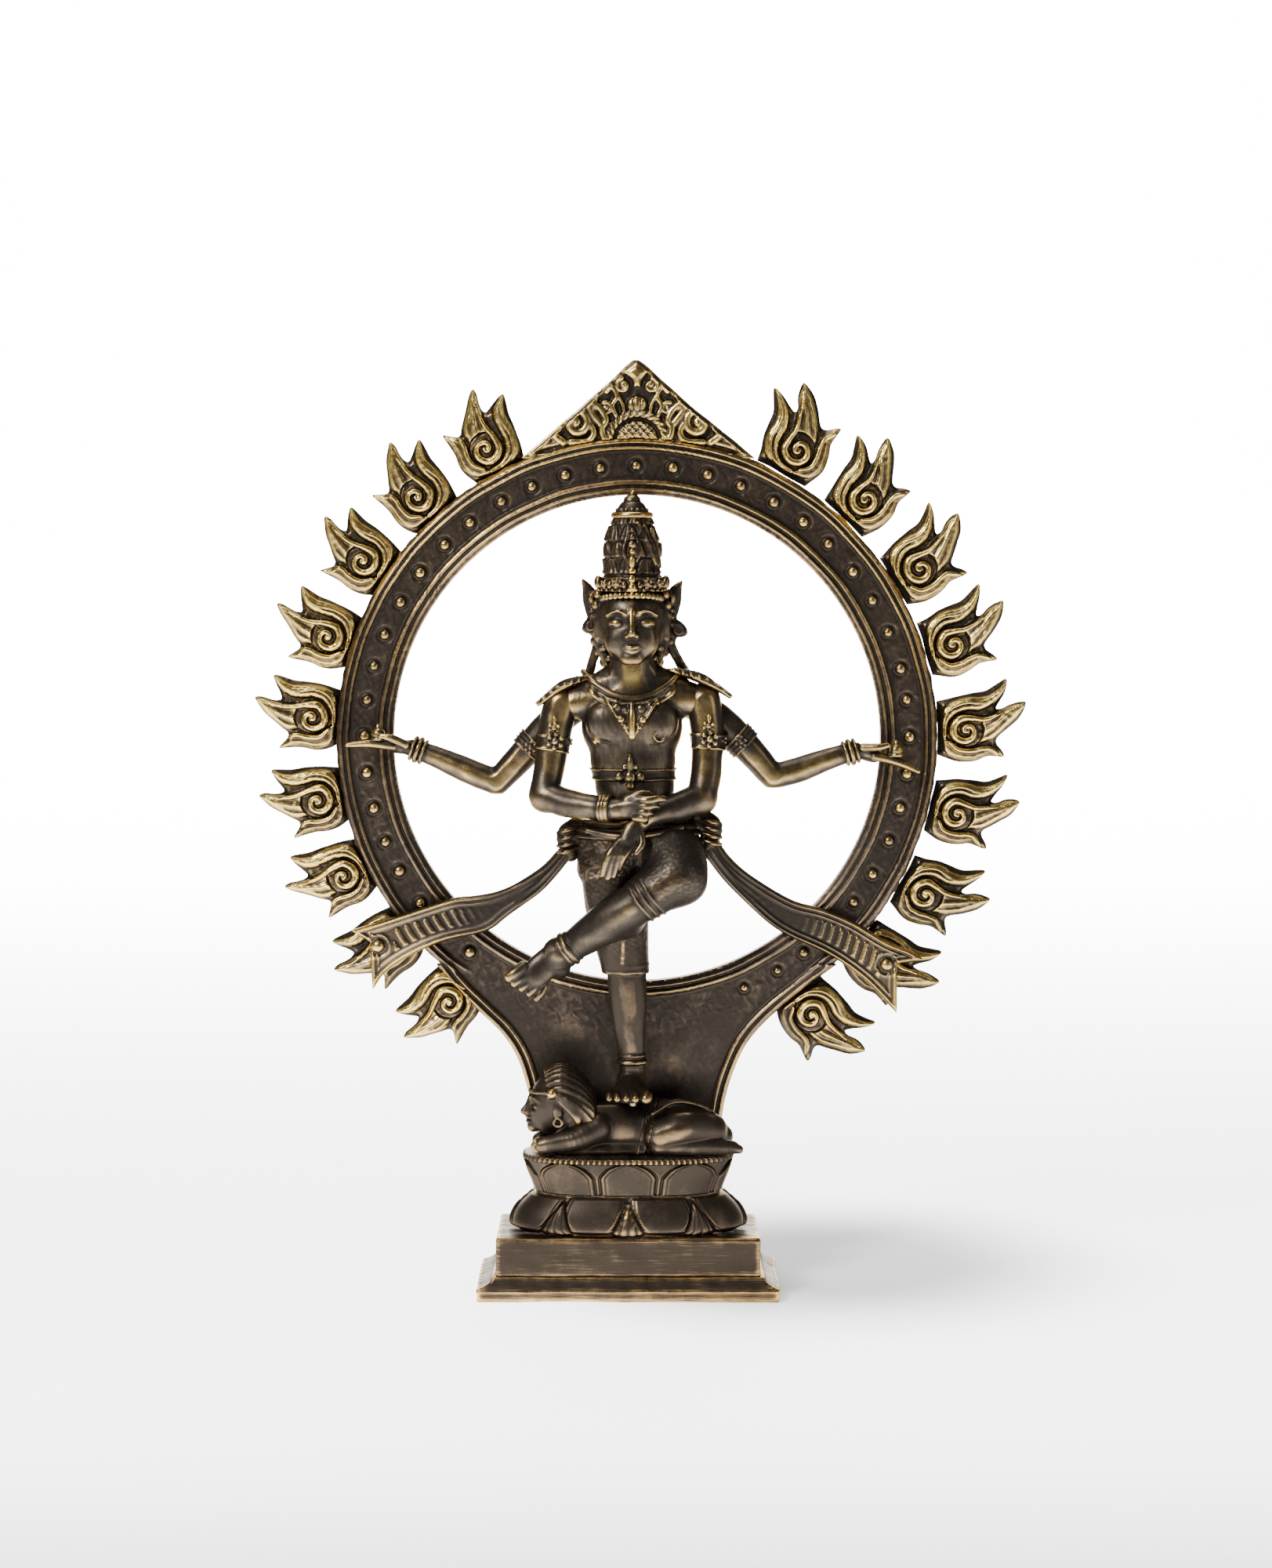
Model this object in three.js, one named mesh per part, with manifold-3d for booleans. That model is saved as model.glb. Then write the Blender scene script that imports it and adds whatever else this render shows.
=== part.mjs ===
// A cast brass statue of a four-armed dancing figure inside a ring of flames, on a lotus plinth.
// Millimetres, +Z up, +X to the viewer's right, the viewer looks along +Y. The origin is on the
// surface that the statue stands on, below the middle of the ring of flames.
import * as THREE from "three";
import { mergeVertices } from "three/addons/utils/BufferGeometryUtils.js";
import Module from "manifold-3d";

const wasm = await Module();
wasm.setup();

// ---- driving dimensions -------------------------------------------------------------------------
const GAP = 0.3; // between castings that are brazed together
const WALL = 3; // the hollow base castings

const BASE_X = -4.3; // the hand-made base stands a little left of the ring
const FOOT = { width: 122, depth: 60, height: 4.8, coveTop: 8.6 };
const BLOCK = { width: 107, depth: 51, top: 25 };
const LOTUS = { waist: 40.6, top: 56.5, lowerWidth: 94, waistWidth: 76, upperWidth: 85, depthShare: 0.5 };

const RING = { x: -0.7, z: 224.8, inner: 99.7, outer: 123.5, front: 10, back: 17 };
const NECK = { middle: -3.9, halfWidth: 38 }; // the fan below the ring, where it meets the lotus
const PEDIMENT = { apex: 156.4, halfWidth: 46, back: 16.5, front: 9.6 };
const FLAMES = { perSide: 9, thickness: 5.6, cord: 1.8, proud: 1 };
// start and step are degrees from the top of the ring; tips and notches are about the curl
const LEFT_FLAMES = {
  radius: 133.6,
  start: 27.7,
  step: 14.62,
  tips: { inner: [16.4, 16.8], middle: [6.8, 23.9], outer: [-12.9, 13.2] },
  notches: { inner: [6.9, 13.2], outer: [-6.2, 10] },
};
const RIGHT_FLAMES = {
  radius: 135.2,
  start: 29.1,
  step: 14.84,
  tips: { inner: [20.4, 17], middle: [10.6, 24.6], outer: [-11.2, 15.4] },
  notches: { inner: [8.8, 12.9], outer: [-4, 12.2] },
};

const FIGURE = { x: -2.8, y: -5, sole: 79.3 };
const SCREW = { x: 12, shank: 1.5, head: 2.4, headHeight: 2.4, depth: 9 };
const PEG = { x: 1.9, shank: 2.6, nut: 4.8, nutHeight: 3 };

// ---- materials ----------------------------------------------------------------------------------
const brass = (color, roughness) => new THREE.MeshStandardMaterial({ color, roughness, metalness: 1 });
const patina = brass(0x4a3c2e, 0.5);
const rubbed = brass(0x7d6238, 0.42);
const bright = brass(0xb08d4e, 0.34);
const steel = brass(0x8a8a88, 0.4);

// ---- solids -------------------------------------------------------------------------------------
function solid(geometry) {
  const bare = geometry.clone();
  bare.deleteAttribute("normal");
  bare.deleteAttribute("uv");
  const merged = mergeVertices(bare, 1e-4);
  return new wasm.Manifold(
    new wasm.Mesh({
      numProp: 3,
      vertProperties: merged.attributes.position.array,
      triVerts: new Uint32Array(merged.index.array),
    }),
  );
}

function geometryOf(made) {
  const mesh = made.simplify(0.04).getMesh();
  return new THREE.BufferGeometry()
    .setAttribute("position", new THREE.BufferAttribute(mesh.vertProperties, 3))
    .setIndex(new THREE.BufferAttribute(mesh.triVerts, 1));
}

function join(...geometries) {
  return geometryOf(geometries.map(solid).reduce((all, one) => all.add(one)));
}

function cut(geometry, ...tools) {
  return geometryOf(tools.map(solid).reduce((rest, tool) => rest.subtract(tool), solid(geometry)));
}

// The same shape with every vertex moved outwards, to cut a neighbour that keeps its distance.
function grown(geometry, by = GAP) {
  const bare = geometry.clone();
  bare.deleteAttribute("normal");
  bare.deleteAttribute("uv");
  const merged = mergeVertices(bare, 1e-4);
  merged.computeVertexNormals();
  const { position, normal } = merged.attributes;
  for (let i = 0; i < position.count; i++) {
    position.setXYZ(
      i,
      position.getX(i) + normal.getX(i) * by,
      position.getY(i) + normal.getY(i) * by,
      position.getZ(i) + normal.getZ(i) * by,
    );
  }
  return merged;
}

const around = (geometry, ...neighbours) => cut(geometry, ...neighbours.map((n) => grown(n)));

// A closed skin through rings of points that all have the same number of points.
function loft(rings) {
  const sides = rings[0].length;
  const last = (rings.length - 1) * sides;
  const points = rings.flat();
  const index = [];
  for (let r = 0; r < rings.length - 1; r++) {
    for (let s = 0; s < sides; s++) {
      const [a, b] = [r * sides + s, r * sides + ((s + 1) % sides)];
      index.push(a, b, a + sides, b, b + sides, a + sides);
    }
  }
  const middle = (ring) => ring.reduce((sum, p) => sum.add(p), new THREE.Vector3()).divideScalar(sides);
  points.push(middle(rings[0]), middle(rings.at(-1)));
  for (let s = 0; s < sides; s++) {
    const next = (s + 1) % sides;
    index.push(next, s, points.length - 2, last + s, last + next, points.length - 1);
  }
  return new THREE.BufferGeometry().setFromPoints(points).setIndex(index);
}

// A round or flattened limb through stations [x, y, z, width, thickness], with domed ends.
function limb(stations, { sides = 9, steps = 1, across = [0, 1, 0] } = {}) {
  const curve = new THREE.CatmullRomCurve3(stations.map(([x, y, z]) => new THREE.Vector3(x, y, z)));
  const count = (stations.length - 1) * steps;
  const radii = (t) => {
    const i = Math.min(Math.floor(t * (stations.length - 1)), stations.length - 2);
    const f = t * (stations.length - 1) - i;
    const at = (s, k) => (s[k] ?? s[3]) / 2;
    return [3, 4].map((k) => THREE.MathUtils.lerp(at(stations[i], k), at(stations[i + 1], k), f));
  };
  const ring = (t, back, scale) => {
    const along = curve.getTangent(t);
    const thick = new THREE.Vector3(...across);
    thick.addScaledVector(along, -thick.dot(along)).normalize();
    const wide = new THREE.Vector3().crossVectors(thick, along);
    const [w, h] = radii(t);
    const centre = curve.getPoint(t).addScaledVector(along, back * Math.min(w, h));
    return Array.from({ length: sides }, (_, s) => {
      const a = (s / sides) * 2 * Math.PI;
      return centre
        .clone()
        .addScaledVector(wide, Math.cos(a) * w * scale)
        .addScaledVector(thick, Math.sin(a) * h * scale);
    });
  };
  const dome = [75, 45].map((d) => THREE.MathUtils.degToRad(d));
  const rings = dome.map((a) => ring(0, -Math.sin(a), Math.cos(a)));
  for (let i = 0; i <= count; i++) rings.push(ring(i / count, 0, 1));
  dome.reverse().forEach((a) => rings.push(ring(1, Math.sin(a), Math.cos(a))));
  return loft(rings);
}

function ellipsoid([x, y, z], [rx, ry, rz], across = 10, up = 7) {
  return new THREE.SphereGeometry(1, across, up).scale(rx, rz, ry).rotateX(Math.PI / 2).translate(x, y, z);
}

// Level outlines [z, halfWidth, halfDepth] joined upwards; square 1 is an ellipse, more is boxier.
function stack(levels, { square = 1, sides = 32, x = 0, y = 0 } = {}) {
  const bend = (value) => Math.sign(value) * Math.abs(value) ** (1 / square);
  return loft(
    levels.map(([z, halfWidth, halfDepth]) =>
      Array.from({ length: sides }, (_, s) => {
        const a = ((s + 0.5) / sides) * 2 * Math.PI;
        return new THREE.Vector3(x + halfWidth * bend(Math.cos(a)), y + halfDepth * bend(Math.sin(a)), z);
      }),
    ),
  );
}

const box = (w, d, [z0, z1], x = 0, y = 0) =>
  new THREE.BoxGeometry(w, d, z1 - z0).translate(x, y, (z0 + z1) / 2);

function post(radius, [z0, z1], x = 0, y = 0, sides = 14) {
  const upright = new THREE.CylinderGeometry(radius, radius, z1 - z0, sides).rotateX(Math.PI / 2);
  return upright.translate(x, y, (z0 + z1) / 2);
}

// An upright plate: the shape's x and y become X and Z, and it reaches from front to back along Y.
function plate(shape, front, back, curveSegments = 4) {
  return new THREE.ExtrudeGeometry(shape, { depth: back - front, bevelEnabled: false, curveSegments })
    .rotateX(Math.PI / 2)
    .translate(0, back, 0);
}

// A short cylinder at a place, whose axis points along a direction.
function disc(at, direction, radius, width) {
  const turn = new THREE.Quaternion().setFromUnitVectors(
    new THREE.Vector3(0, 1, 0),
    new THREE.Vector3(...direction).normalize(),
  );
  return new THREE.CylinderGeometry(radius, radius, width, 12).applyQuaternion(turn).translate(...at);
}

function add(group, name, geometry, material) {
  const mesh = new THREE.Mesh(geometry, material);
  mesh.name = name;
  group.add(mesh);
  return mesh;
}

// ---- base: foot, block and two lotus tiers, hollow and open below -------------------------------
const base = new THREE.Group();
base.position.x = BASE_X;

function plinthFoot() {
  const [w, d] = [FOOT.width / 2, FOOT.depth / 2];
  const [bw, bd] = [BLOCK.width / 2 + 1.5, BLOCK.depth / 2 + 1.5];
  const outside = join(
    box(2 * w, 2 * d, [0, FOOT.height]),
    loft(
      [
        [FOOT.height - 0.5, w - 1, d - 1],
        [(FOOT.height + FOOT.coveTop) / 2, bw + 1.6, bd + 1.2],
        [FOOT.coveTop, bw, bd],
      ].map(([z, hw, hd]) =>
        [[hw, hd], [-hw, hd], [-hw, -hd], [hw, -hd]].map(([x, y]) => new THREE.Vector3(x, y, z)),
      ),
    ),
  );
  return cut(outside, box(BLOCK.width - 10, BLOCK.depth - 10, [-1, FOOT.coveTop + 1]));
}

function plinthBlock() {
  const outside = box(BLOCK.width, BLOCK.depth, [FOOT.coveTop + GAP, BLOCK.top]);
  const hollow = box(BLOCK.width - 2 * WALL, BLOCK.depth - 2 * WALL, [0, BLOCK.top - WALL]);
  const mouth = box(LOTUS.waistWidth - 14, 34, [0, BLOCK.top + 1]);
  return cut(outside, hollow, mouth);
}

function tier(levels, inward) {
  const outline = { square: 1.35, sides: 36 };
  const rows = levels.map(([z, width]) => [z, width / 2, (width / 2) * LOTUS.depthShare]);
  const inside = rows.map(([z, w, d]) => [z, w - WALL, d - WALL]);
  inside[0][0] -= 1;
  inside[inside.length - 1][0] += inward;
  return cut(stack(rows, outline), stack(inside, outline));
}

function lotusLower() {
  return tier(
    [
      [BLOCK.top + GAP, LOTUS.lowerWidth - 3],
      [BLOCK.top + 4, LOTUS.lowerWidth],
      [BLOCK.top + 9, LOTUS.lowerWidth - 5],
      [LOTUS.waist, LOTUS.waistWidth],
    ],
    1,
  );
}

function lotusUpper() {
  const whole = tier(
    [
      [LOTUS.waist + GAP, LOTUS.waistWidth],
      [LOTUS.waist + 7, LOTUS.upperWidth - 3],
      [LOTUS.top - 3, LOTUS.upperWidth],
      [LOTUS.top, LOTUS.upperWidth - 2],
    ],
    -WALL,
  );
  const through = [LOTUS.top - 2 * WALL, LOTUS.top + 1];
  const archHoles = [-1, 1].map((side) =>
    post(SCREW.shank + GAP, through, NECK.middle + RING.x - BASE_X + side * SCREW.x, archMiddle),
  );
  return cut(whole, ...archHoles, post(PEG.shank + GAP, through, PEG.x, FIGURE.y));
}

// ---- the dwarf under the figure's foot ----------------------------------------------------------
function dwarfHead() {
  const skull = ellipsoid([-27, -4, 76.5], [12.5, 11, 12.5], 14, 9);
  const face = ellipsoid([-34, -4, 70], [6.5, 7.5, 9]);
  const curls = ellipsoid([-17, -4, 71], [8, 9, 9]);
  return cut(join(skull, face, curls), box(80, 80, [0, LOTUS.top + GAP]));
}

function dwarfBody(head) {
  const trunk = limb([[-20, -3, 66.5, 17, 19], [0, -3, 67, 19, 20], [24, -3, 66, 17, 22]]);
  const thigh = limb([[29, -9, 65, 14, 12], [13, -14, 64, 12, 10]]);
  const shin = limb([[14, -15, 60, 6, 7], [38, -11, 60.5, 6, 6]]);
  const arm = limb([[-15, -10, 66, 9], [-25, -14, 61.5, 7], [-38, -12, 60.5, 6]]);
  const rough = join(trunk, thigh, shin, arm);
  const pegHole = post(PEG.shank + GAP, [LOTUS.top - 1, 90], PEG.x, FIGURE.y);
  const trod = box(24, 26, [FIGURE.sole - GAP, 95], 1, -7);
  return cut(rough, grown(head), box(120, 80, [0, LOTUS.top + GAP]), pegHole, trod);
}

// ---- the aureole: ring and fan, pediment, flames ------------------------------------------------
const aureole = new THREE.Group();
aureole.position.set(RING.x, 0, RING.z);
const archMiddle = (RING.front + 1.5 + RING.back) / 2;

function archRing() {
  const face = RING.front + 1.5; // the sunk band between the two rims
  const profile = [
    [RING.inner, RING.back],
    [RING.inner, RING.front + 0.4],
    [RING.inner + 1.4, RING.front],
    [RING.inner + 5.6, RING.front],
    [RING.inner + 6.6, face],
    [RING.outer - 6, face],
    [RING.outer - 5, RING.front],
    [RING.outer - 1.4, RING.front],
    [RING.outer, face],
    [RING.outer, RING.back],
    [RING.inner, RING.back],
  ].map(([r, y]) => new THREE.Vector2(r, y));
  const ring = new THREE.LatheGeometry(profile, 64);
  const shape = new THREE.Shape();
  const foot = LOTUS.top + GAP - RING.z;
  const [left, right] = [NECK.middle - NECK.halfWidth, NECK.middle + NECK.halfWidth];
  shape.moveTo(left, foot);
  shape.bezierCurveTo(left - 0.5, -140, -50, -124, -65, -105);
  shape.lineTo(-70, -85);
  shape.lineTo(70, -85);
  shape.lineTo(61, -107);
  shape.bezierCurveTo(44, -123, right + 2, -140, right, foot);
  const hole = new THREE.CylinderGeometry(RING.inner + 3, RING.inner + 3, 40, 64);
  const fan = cut(plate(shape, face, RING.back, 7), hole);
  const holes = [-1, 1].map((side) =>
    post(SCREW.shank + GAP, [foot - 1, foot + SCREW.depth], NECK.middle + side * SCREW.x, archMiddle),
  );
  return cut(join(ring, fan), ...holes);
}

function pediment() {
  const shape = new THREE.Shape();
  const edge = Math.sqrt((RING.outer + GAP) ** 2 - PEDIMENT.halfWidth ** 2);
  const from = Math.atan2(edge, PEDIMENT.halfWidth);
  shape.moveTo(PEDIMENT.halfWidth, edge);
  shape.lineTo(3, PEDIMENT.apex - 2.2);
  shape.quadraticCurveTo(0, PEDIMENT.apex, -3, PEDIMENT.apex - 2.2);
  shape.lineTo(-PEDIMENT.halfWidth, edge);
  const seat = RING.outer + 2 * GAP;
  const arc = new THREE.EllipseCurve(0, 0, seat, seat, Math.PI - from, from, true);
  arc.getPoints(16).slice(1, -1).forEach((p) => shape.lineTo(p.x, p.y));
  return plate(shape, PEDIMENT.front, PEDIMENT.back);
}

// A cord along a smooth line through points in the plane; it thins out towards its end.
function cord(points, steps, front) {
  const line = new THREE.CatmullRomCurve3(points.map(([x, z]) => new THREE.Vector3(x, z, 0)));
  const edge = (side) =>
    Array.from({ length: steps + 1 }, (_, i) => {
      const at = line.getPointAt(i / steps);
      const run = line.getTangentAt(i / steps);
      const half = side * FLAMES.cord * (0.5 - 0.3 * (i / steps) ** 3);
      return new THREE.Vector2(at.x - run.y * half, at.y + run.x * half);
    });
  const outline = new THREE.Shape([...edge(1), ...edge(-1).reverse()]);
  return plate(outline, front - FLAMES.proud, front + 1);
}

// One flame, upright, with its curl centred on the origin; its tongues lean towards +X.
function flame({ radius, tips, notches }) {
  const shape = new THREE.Shape();
  const root = RING.outer + 2 * GAP - radius;
  shape.moveTo(-9.6, root);
  shape.quadraticCurveTo(-14.4, -2.5, -12.4, 4.5);
  shape.quadraticCurveTo(-12.8, 9, ...tips.outer);
  shape.quadraticCurveTo(-9, 11.6, ...notches.outer);
  shape.quadraticCurveTo(tips.middle[0] - 7, 18.6, ...tips.middle);
  shape.quadraticCurveTo(tips.middle[0] - 1.6, 17, ...notches.inner);
  shape.quadraticCurveTo(tips.inner[0] - 4, 14.4, ...tips.inner);
  shape.quadraticCurveTo(15.2, 10, 15.2, 4);
  shape.quadraticCurveTo(14.8, -4.5, 12, root);
  const front = RING.front + 0.8;
  const curl = [[1.2, -0.6], [1, 1.2], [-1, 2.9], [-3.9, 0.6], [-2.6, -3.9], [2.2, -4.7], [5.4, -0.6]];
  const up = [[4.9, 4.6], [3.6, 9], [4.2, 15.5], [tips.middle[0] - 0.8, 21.8]];
  const inner = [[0, -8], [8.4, -6], [11.4, 0], [10.6, 7.6], [tips.inner[0] - 2.2, 15.2]];
  const outer = [[-4.4, -6.4], [-8, -2], [-7, 5.6], [-9.4, 9.8], [tips.outer[0] + 1.4, 11.6]];
  return join(
    plate(shape, front, front + FLAMES.thickness, 3),
    cord([...curl, ...up], 27, front),
    cord(inner, 10, front),
    cord(outer, 9, front),
  );
}

function addFlames(side, mirror, flames) {
  const { radius, start, step } = flames;
  const geometry = flame(flames);
  for (let i = 0; i < FLAMES.perSide; i++) {
    const spoke = new THREE.Group();
    spoke.rotation.y = THREE.MathUtils.degToRad(-mirror * (start + i * step));
    const mesh = add(spoke, `flame_${side}_${i + 1}`, geometry, bright);
    mesh.position.z = radius;
    mesh.scale.x = mirror;
    aureole.add(spoke);
  }
}

// ---- the dancing figure; heights are above the sole of the standing foot ------------------------
const figure = new THREE.Group();
figure.position.set(FIGURE.x, FIGURE.y, FIGURE.sole);

const torso = stack(
  [
    [122, 15.5, 10], [127, 15.8, 10.4], [134, 17, 11], [142, 20, 12], [152, 22.5, 12.4],
    [160, 23.5, 11.5], [166, 20, 10], [169.5, 12, 8.5],
  ],
  { sides: 18 },
);

const hips = around(
  stack([[93, 14, 12], [98, 24, 14], [106, 26.5, 14.5], [114, 23.5, 13.5], [121.6, 16.5, 10.5]],
    { sides: 18, x: 2.2 }),
  torso,
);

const head = around(
  join(
    ellipsoid([0, 0, 197], [14, 15, 15.5], 14, 9),
    ellipsoid([0, -3.5, 188], [11.2, 11.5, 12.5], 12, 8),
    ellipsoid([0, -14.2, 190], [2.2, 3, 5], 8, 6),
    limb([[0.5, 0, 166, 20, 19], [0, 1, 184, 19, 19]]),
  ),
  torso,
);

const crown = cut(
  stack(
    [
      [206, 15.2, 15], [210, 15.2, 15], [213.5, 12, 12], [218, 11.4, 11.4], [224, 11.6, 11.6],
      [231, 10, 10], [235.5, 7.4, 7.4],
    ],
    { sides: 16, x: 0.4, y: -1 },
  ),
  grown(head),
);

const finial = stack(
  [[235.8, 8.4, 8.4], [238.5, 8.4, 8.4], [240, 5.4, 5.4], [242.5, 4, 4], [247, 1.2, 1.2]],
  { sides: 14, x: 0.6, y: -1 },
);

const standingLeg = cut(
  withRings(
    join(
      limb([[-7, 0, 103, 27, 24], [-6, 0, 86, 26, 23], [-3.6, 0, 62, 20, 19], [-2.4, 0, 51, 18, 17]]),
      limb([[-2.4, 0, 54, 14], [-0.8, 1, 38, 13.4], [0.4, 1, 12, 11.4], [0.4, 1, 8, 11.8]]),
      limb([[0.6, 2, 6, 11, 9], [0.2, -5, 5.6, 15, 8], [0, -11, 4.2, 17, 6]], { across: [0, 0, 1] }),
    ),
    [[0.4, 1, 13.5], [0, 0, 1], 7],
  ),
  box(60, 60, [-20, 0]),
  grown(hips),
  post(PEG.shank + GAP, [-1, 9], PEG.x + BASE_X - FIGURE.x, 0),
);

const raisedLeg = around(
  withRings(
    join(
      limb([[14, 1, 102, 26, 25], [18, -9, 98, 26, 25], [17.5, -16, 92, 22, 22]]),
      limb([[17.5, -16, 91.5, 20], [4.7, -16, 86, 17.5], [-12, -13.5, 72.5, 14.4], [-28, -9.5, 60.5, 11.6]]),
      limb(
        [[-28, -9.5, 61, 11, 11], [-38, -9, 55, 12, 9], [-48, -8.5, 48.5, 14, 6]],
        { across: [0.45, 0, -0.9] },
      ),
    ),
    [[-25.5, -10.2, 62.6], [-1, 0.25, -0.75], 7.2],
  ),
  hips,
  standingLeg,
);

// Rings cast on to a limb: [centre, direction, radius].
function withRings(body, ...rings) {
  return join(body, ...rings.map(([at, direction, radius]) => disc(at, direction, radius, 3.6)));
}

function frontRightArm() {
  const arm = limb([
    [-28, 0, 160, 15], [-31.5, -1.5, 146, 14.5], [-34.5, -3, 130, 13], [-33.5, -5, 121.5, 12.5],
    [-20, -12, 120.5, 10.5], [-6, -17, 119.5, 8.4], [2, -19.5, 120.5, 9.5, 7], [10, -20.5, 122, 7, 6],
  ]);
  return around(withRings(arm, [[-9.5, -15.8, 119.7], [1, -0.4, -0.05], 5.8]), torso, hips);
}

function frontLeftArm(rightArm) {
  const arm = limb([
    [27.5, 0, 160, 15], [29.5, -1.5, 146, 14.5], [29.5, -3, 130, 13], [26, -5.5, 120.5, 12],
    [14, -11, 117.5, 10], [2, -15.5, 113, 8.4], [-3.5, -18.5, 104, 9, 6], [-6, -20, 95.5, 6, 5],
  ]);
  return around(arm, torso, hips, rightArm, raisedLeg);
}

const rearRightArm = withRings(
  join(
    limb([
      [-20, 5, 160, 14], [-36, 4.5, 148, 13.6], [-48, 4.5, 135, 12.6], [-56, 4.5, 128.5, 11.4],
      [-68, 6, 133.5, 10.6], [-86, 8.5, 143, 8.6], [-99, 11, 144, 8, 6], [-116, 12, 144.8, 4.5, 3.5],
    ]),
    ellipsoid([-103.5, 9.5, 149], [3, 3, 3]),
  ),
  [[-87, 8.7, 143.3], [-1, 0.2, 0.3], 5.6],
);

const rearLeftArm = withRings(
  join(
    limb([
      [20, 5, 160, 14], [37, 4.5, 149, 13.6], [50, 4.5, 137, 12.6], [58, 4.5, 131, 11.4],
      [71, 6, 134.5, 10.6], [91, 8.5, 141.5, 8.6], [103, 11, 139, 8, 6], [117, 12, 134.8, 4.5, 3.5],
    ]),
    ellipsoid([107.7, 9.5, 143], [3, 3, 3]),
  ),
  [[91.6, 8.7, 141.4], [1, 0.2, -0.05], 5.6],
);

// A flat scarf through stations [x, y, z, width].
function scarf(stations, thickness = 3) {
  return limb(stations.map(([x, y, z, width]) => [x, y, z, width, thickness]), { sides: 8 });
}

function addBody() {
  add(figure, "torso", torso, patina);
  add(figure, "hip_cloth", hips, patina);
  add(figure, "head", head, rubbed);
  add(figure, "crown", crown, patina);
  add(figure, "crown_finial", finial, bright);
  add(figure, "standing_leg", standingLeg, patina);
  add(figure, "raised_leg", raisedLeg, rubbed);
  const rightArm = frontRightArm();
  add(figure, "front_right_arm", rightArm, rubbed);
  add(figure, "front_left_arm", frontLeftArm(rightArm), rubbed);
  add(figure, "rear_right_arm", around(rearRightArm, torso, rightArm), patina);
  add(figure, "rear_left_arm", around(rearLeftArm, torso, cast("front_left_arm")), patina);
}

// An ornament is trimmed to clear everything of the figure that it sits against.
function adorn(name, geometry, material, ...against) {
  add(figure, name, cut(geometry, ...against.map((other) => grown(cast(other), 2 * GAP))), material);
}

function addOrnaments() {
  const armlets = [
    ["front_right", [-31.2, -1.5, 147], [0.2, 0, 1], 8.8, "torso", "rear_right_arm"],
    ["front_left", [29.3, -1.5, 147], [-0.1, 0, 1], 8.8, "torso", "rear_left_arm"],
    ["rear_right", [-45, 4.5, 138.5], [-1, 0, -1.05], 8, "front_right_arm"],
    ["rear_left", [47, 4.5, 140], [1, 0, -0.95], 8, "front_left_arm"],
  ];
  for (const [arm, at, direction, radius, ...against] of armlets) {
    adorn(`armlet_${arm}`, disc(at, direction, radius, 5.5), bright, `${arm}_arm`, ...against);
  }
  adorn(
    "chest_belt",
    stack([[128.5, 18.4, 13], [133, 19, 13.6]], { sides: 18, x: 0.8 }),
    rubbed, "torso", "front_right_arm", "front_left_arm",
  );
  adorn(
    "hip_sash",
    stack([[107, 28.6, 16.6], [114.5, 27, 15.6]], { sides: 18, x: 2.2 }),
    patina, "hip_cloth", "front_right_arm", "front_left_arm", "raised_leg", "standing_leg",
  );
  const neckRing = limb(
    [
      [-15.5, -4.5, 170.5, 5], [-9.5, -12.5, 164, 5], [0, -15, 159.5, 5],
      [9.5, -12.5, 164, 5], [15.5, -4.5, 170.5, 5],
    ],
    { sides: 8 },
  );
  adorn("necklace", join(neckRing, ellipsoid([0, -13.4, 152.5], [9, 3.4, 8.5])), bright, "torso", "head");
}

function addScarves() {
  const sides = [
    {
      side: "right",
      knot: [-26, 0, 106.5],
      stations: [[-29, 2, 103, 8], [-37, 6, 92, 9], [-50, 8.5, 82, 12], [-66, 10, 75, 16],
        [-86, 10.5, 69.5, 18], [-105, 10, 60, 20]],
    },
    {
      side: "left",
      knot: [31, 0, 108.5],
      stations: [[32.5, 2, 105, 8], [41, 6, 94, 10], [54, 8.5, 80, 13], [72, 10, 69.5, 16],
        [88, 10.5, 62, 18], [106, 10, 51, 20]],
    },
  ];
  for (const { side, knot, stations } of sides) {
    const lump = ellipsoid(knot, [5.5, 6, 8]);
    adorn(`hip_knot_${side}`, lump, patina, "hip_cloth", "hip_sash", "standing_leg", "raised_leg");
    const tied = [`hip_knot_${side}`, "hip_cloth", "hip_sash", "raised_leg"];
    adorn(`scarf_${side}`, scarf(stations), bright, ...tied);
  }
}

function addHeadDress() {
  for (const [side, s] of [["right", -1], ["left", 1]]) {
    const leaf = limb(
      [[s * 19, -1, 170.2, 10, 2.6], [s * 29, -1, 168.6, 15, 2.6], [s * 38.5, 0, 161.5, 5, 2]],
      { across: [0.3 * s, 0, 0.95], sides: 8 },
    );
    adorn(`shoulder_leaf_${side}`, leaf, bright, "torso", `front_${side}_arm`, `rear_${side}_arm`, "head");
    const ear = limb(
      [
        [s * 20, 2, 211, 2.4, 2.4], [s * 17.5, 2, 203, 6, 4],
        [s * 16, 2, 195, 5, 4], [s * 17.5, 2, 188.5, 6.5, 5],
      ],
      { sides: 8 },
    );
    const ribbon = limb(
      [[s * 16.5, 3, 189, 4, 3], [s * 18, 5, 180, 4, 3], [s * 20.5, 5, 171.8, 4, 3]],
      { sides: 8 },
    );
    const worn = ["head", "crown", "torso", `shoulder_leaf_${side}`];
    adorn(`ear_ornament_${side}`, join(ear, ribbon), rubbed, ...worn);
  }
}

const cast = (name) => figure.getObjectByName(name).geometry;

// ---- what holds the castings together, inside the base ------------------------------------------
function archScrew() {
  const underside = LOTUS.top - WALL - GAP;
  const tip = LOTUS.top + GAP + SCREW.depth - 1;
  return join(
    post(SCREW.head, [underside - SCREW.headHeight, underside], 0, 0),
    post(SCREW.shank, [underside - 0.5, tip], 0, 0, 10),
  );
}

const pegTop = FIGURE.sole + 8;
const figurePeg = () => post(PEG.shank, [LOTUS.top - WALL - PEG.nutHeight - 2, pegTop], PEG.x, FIGURE.y, 12);

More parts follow.
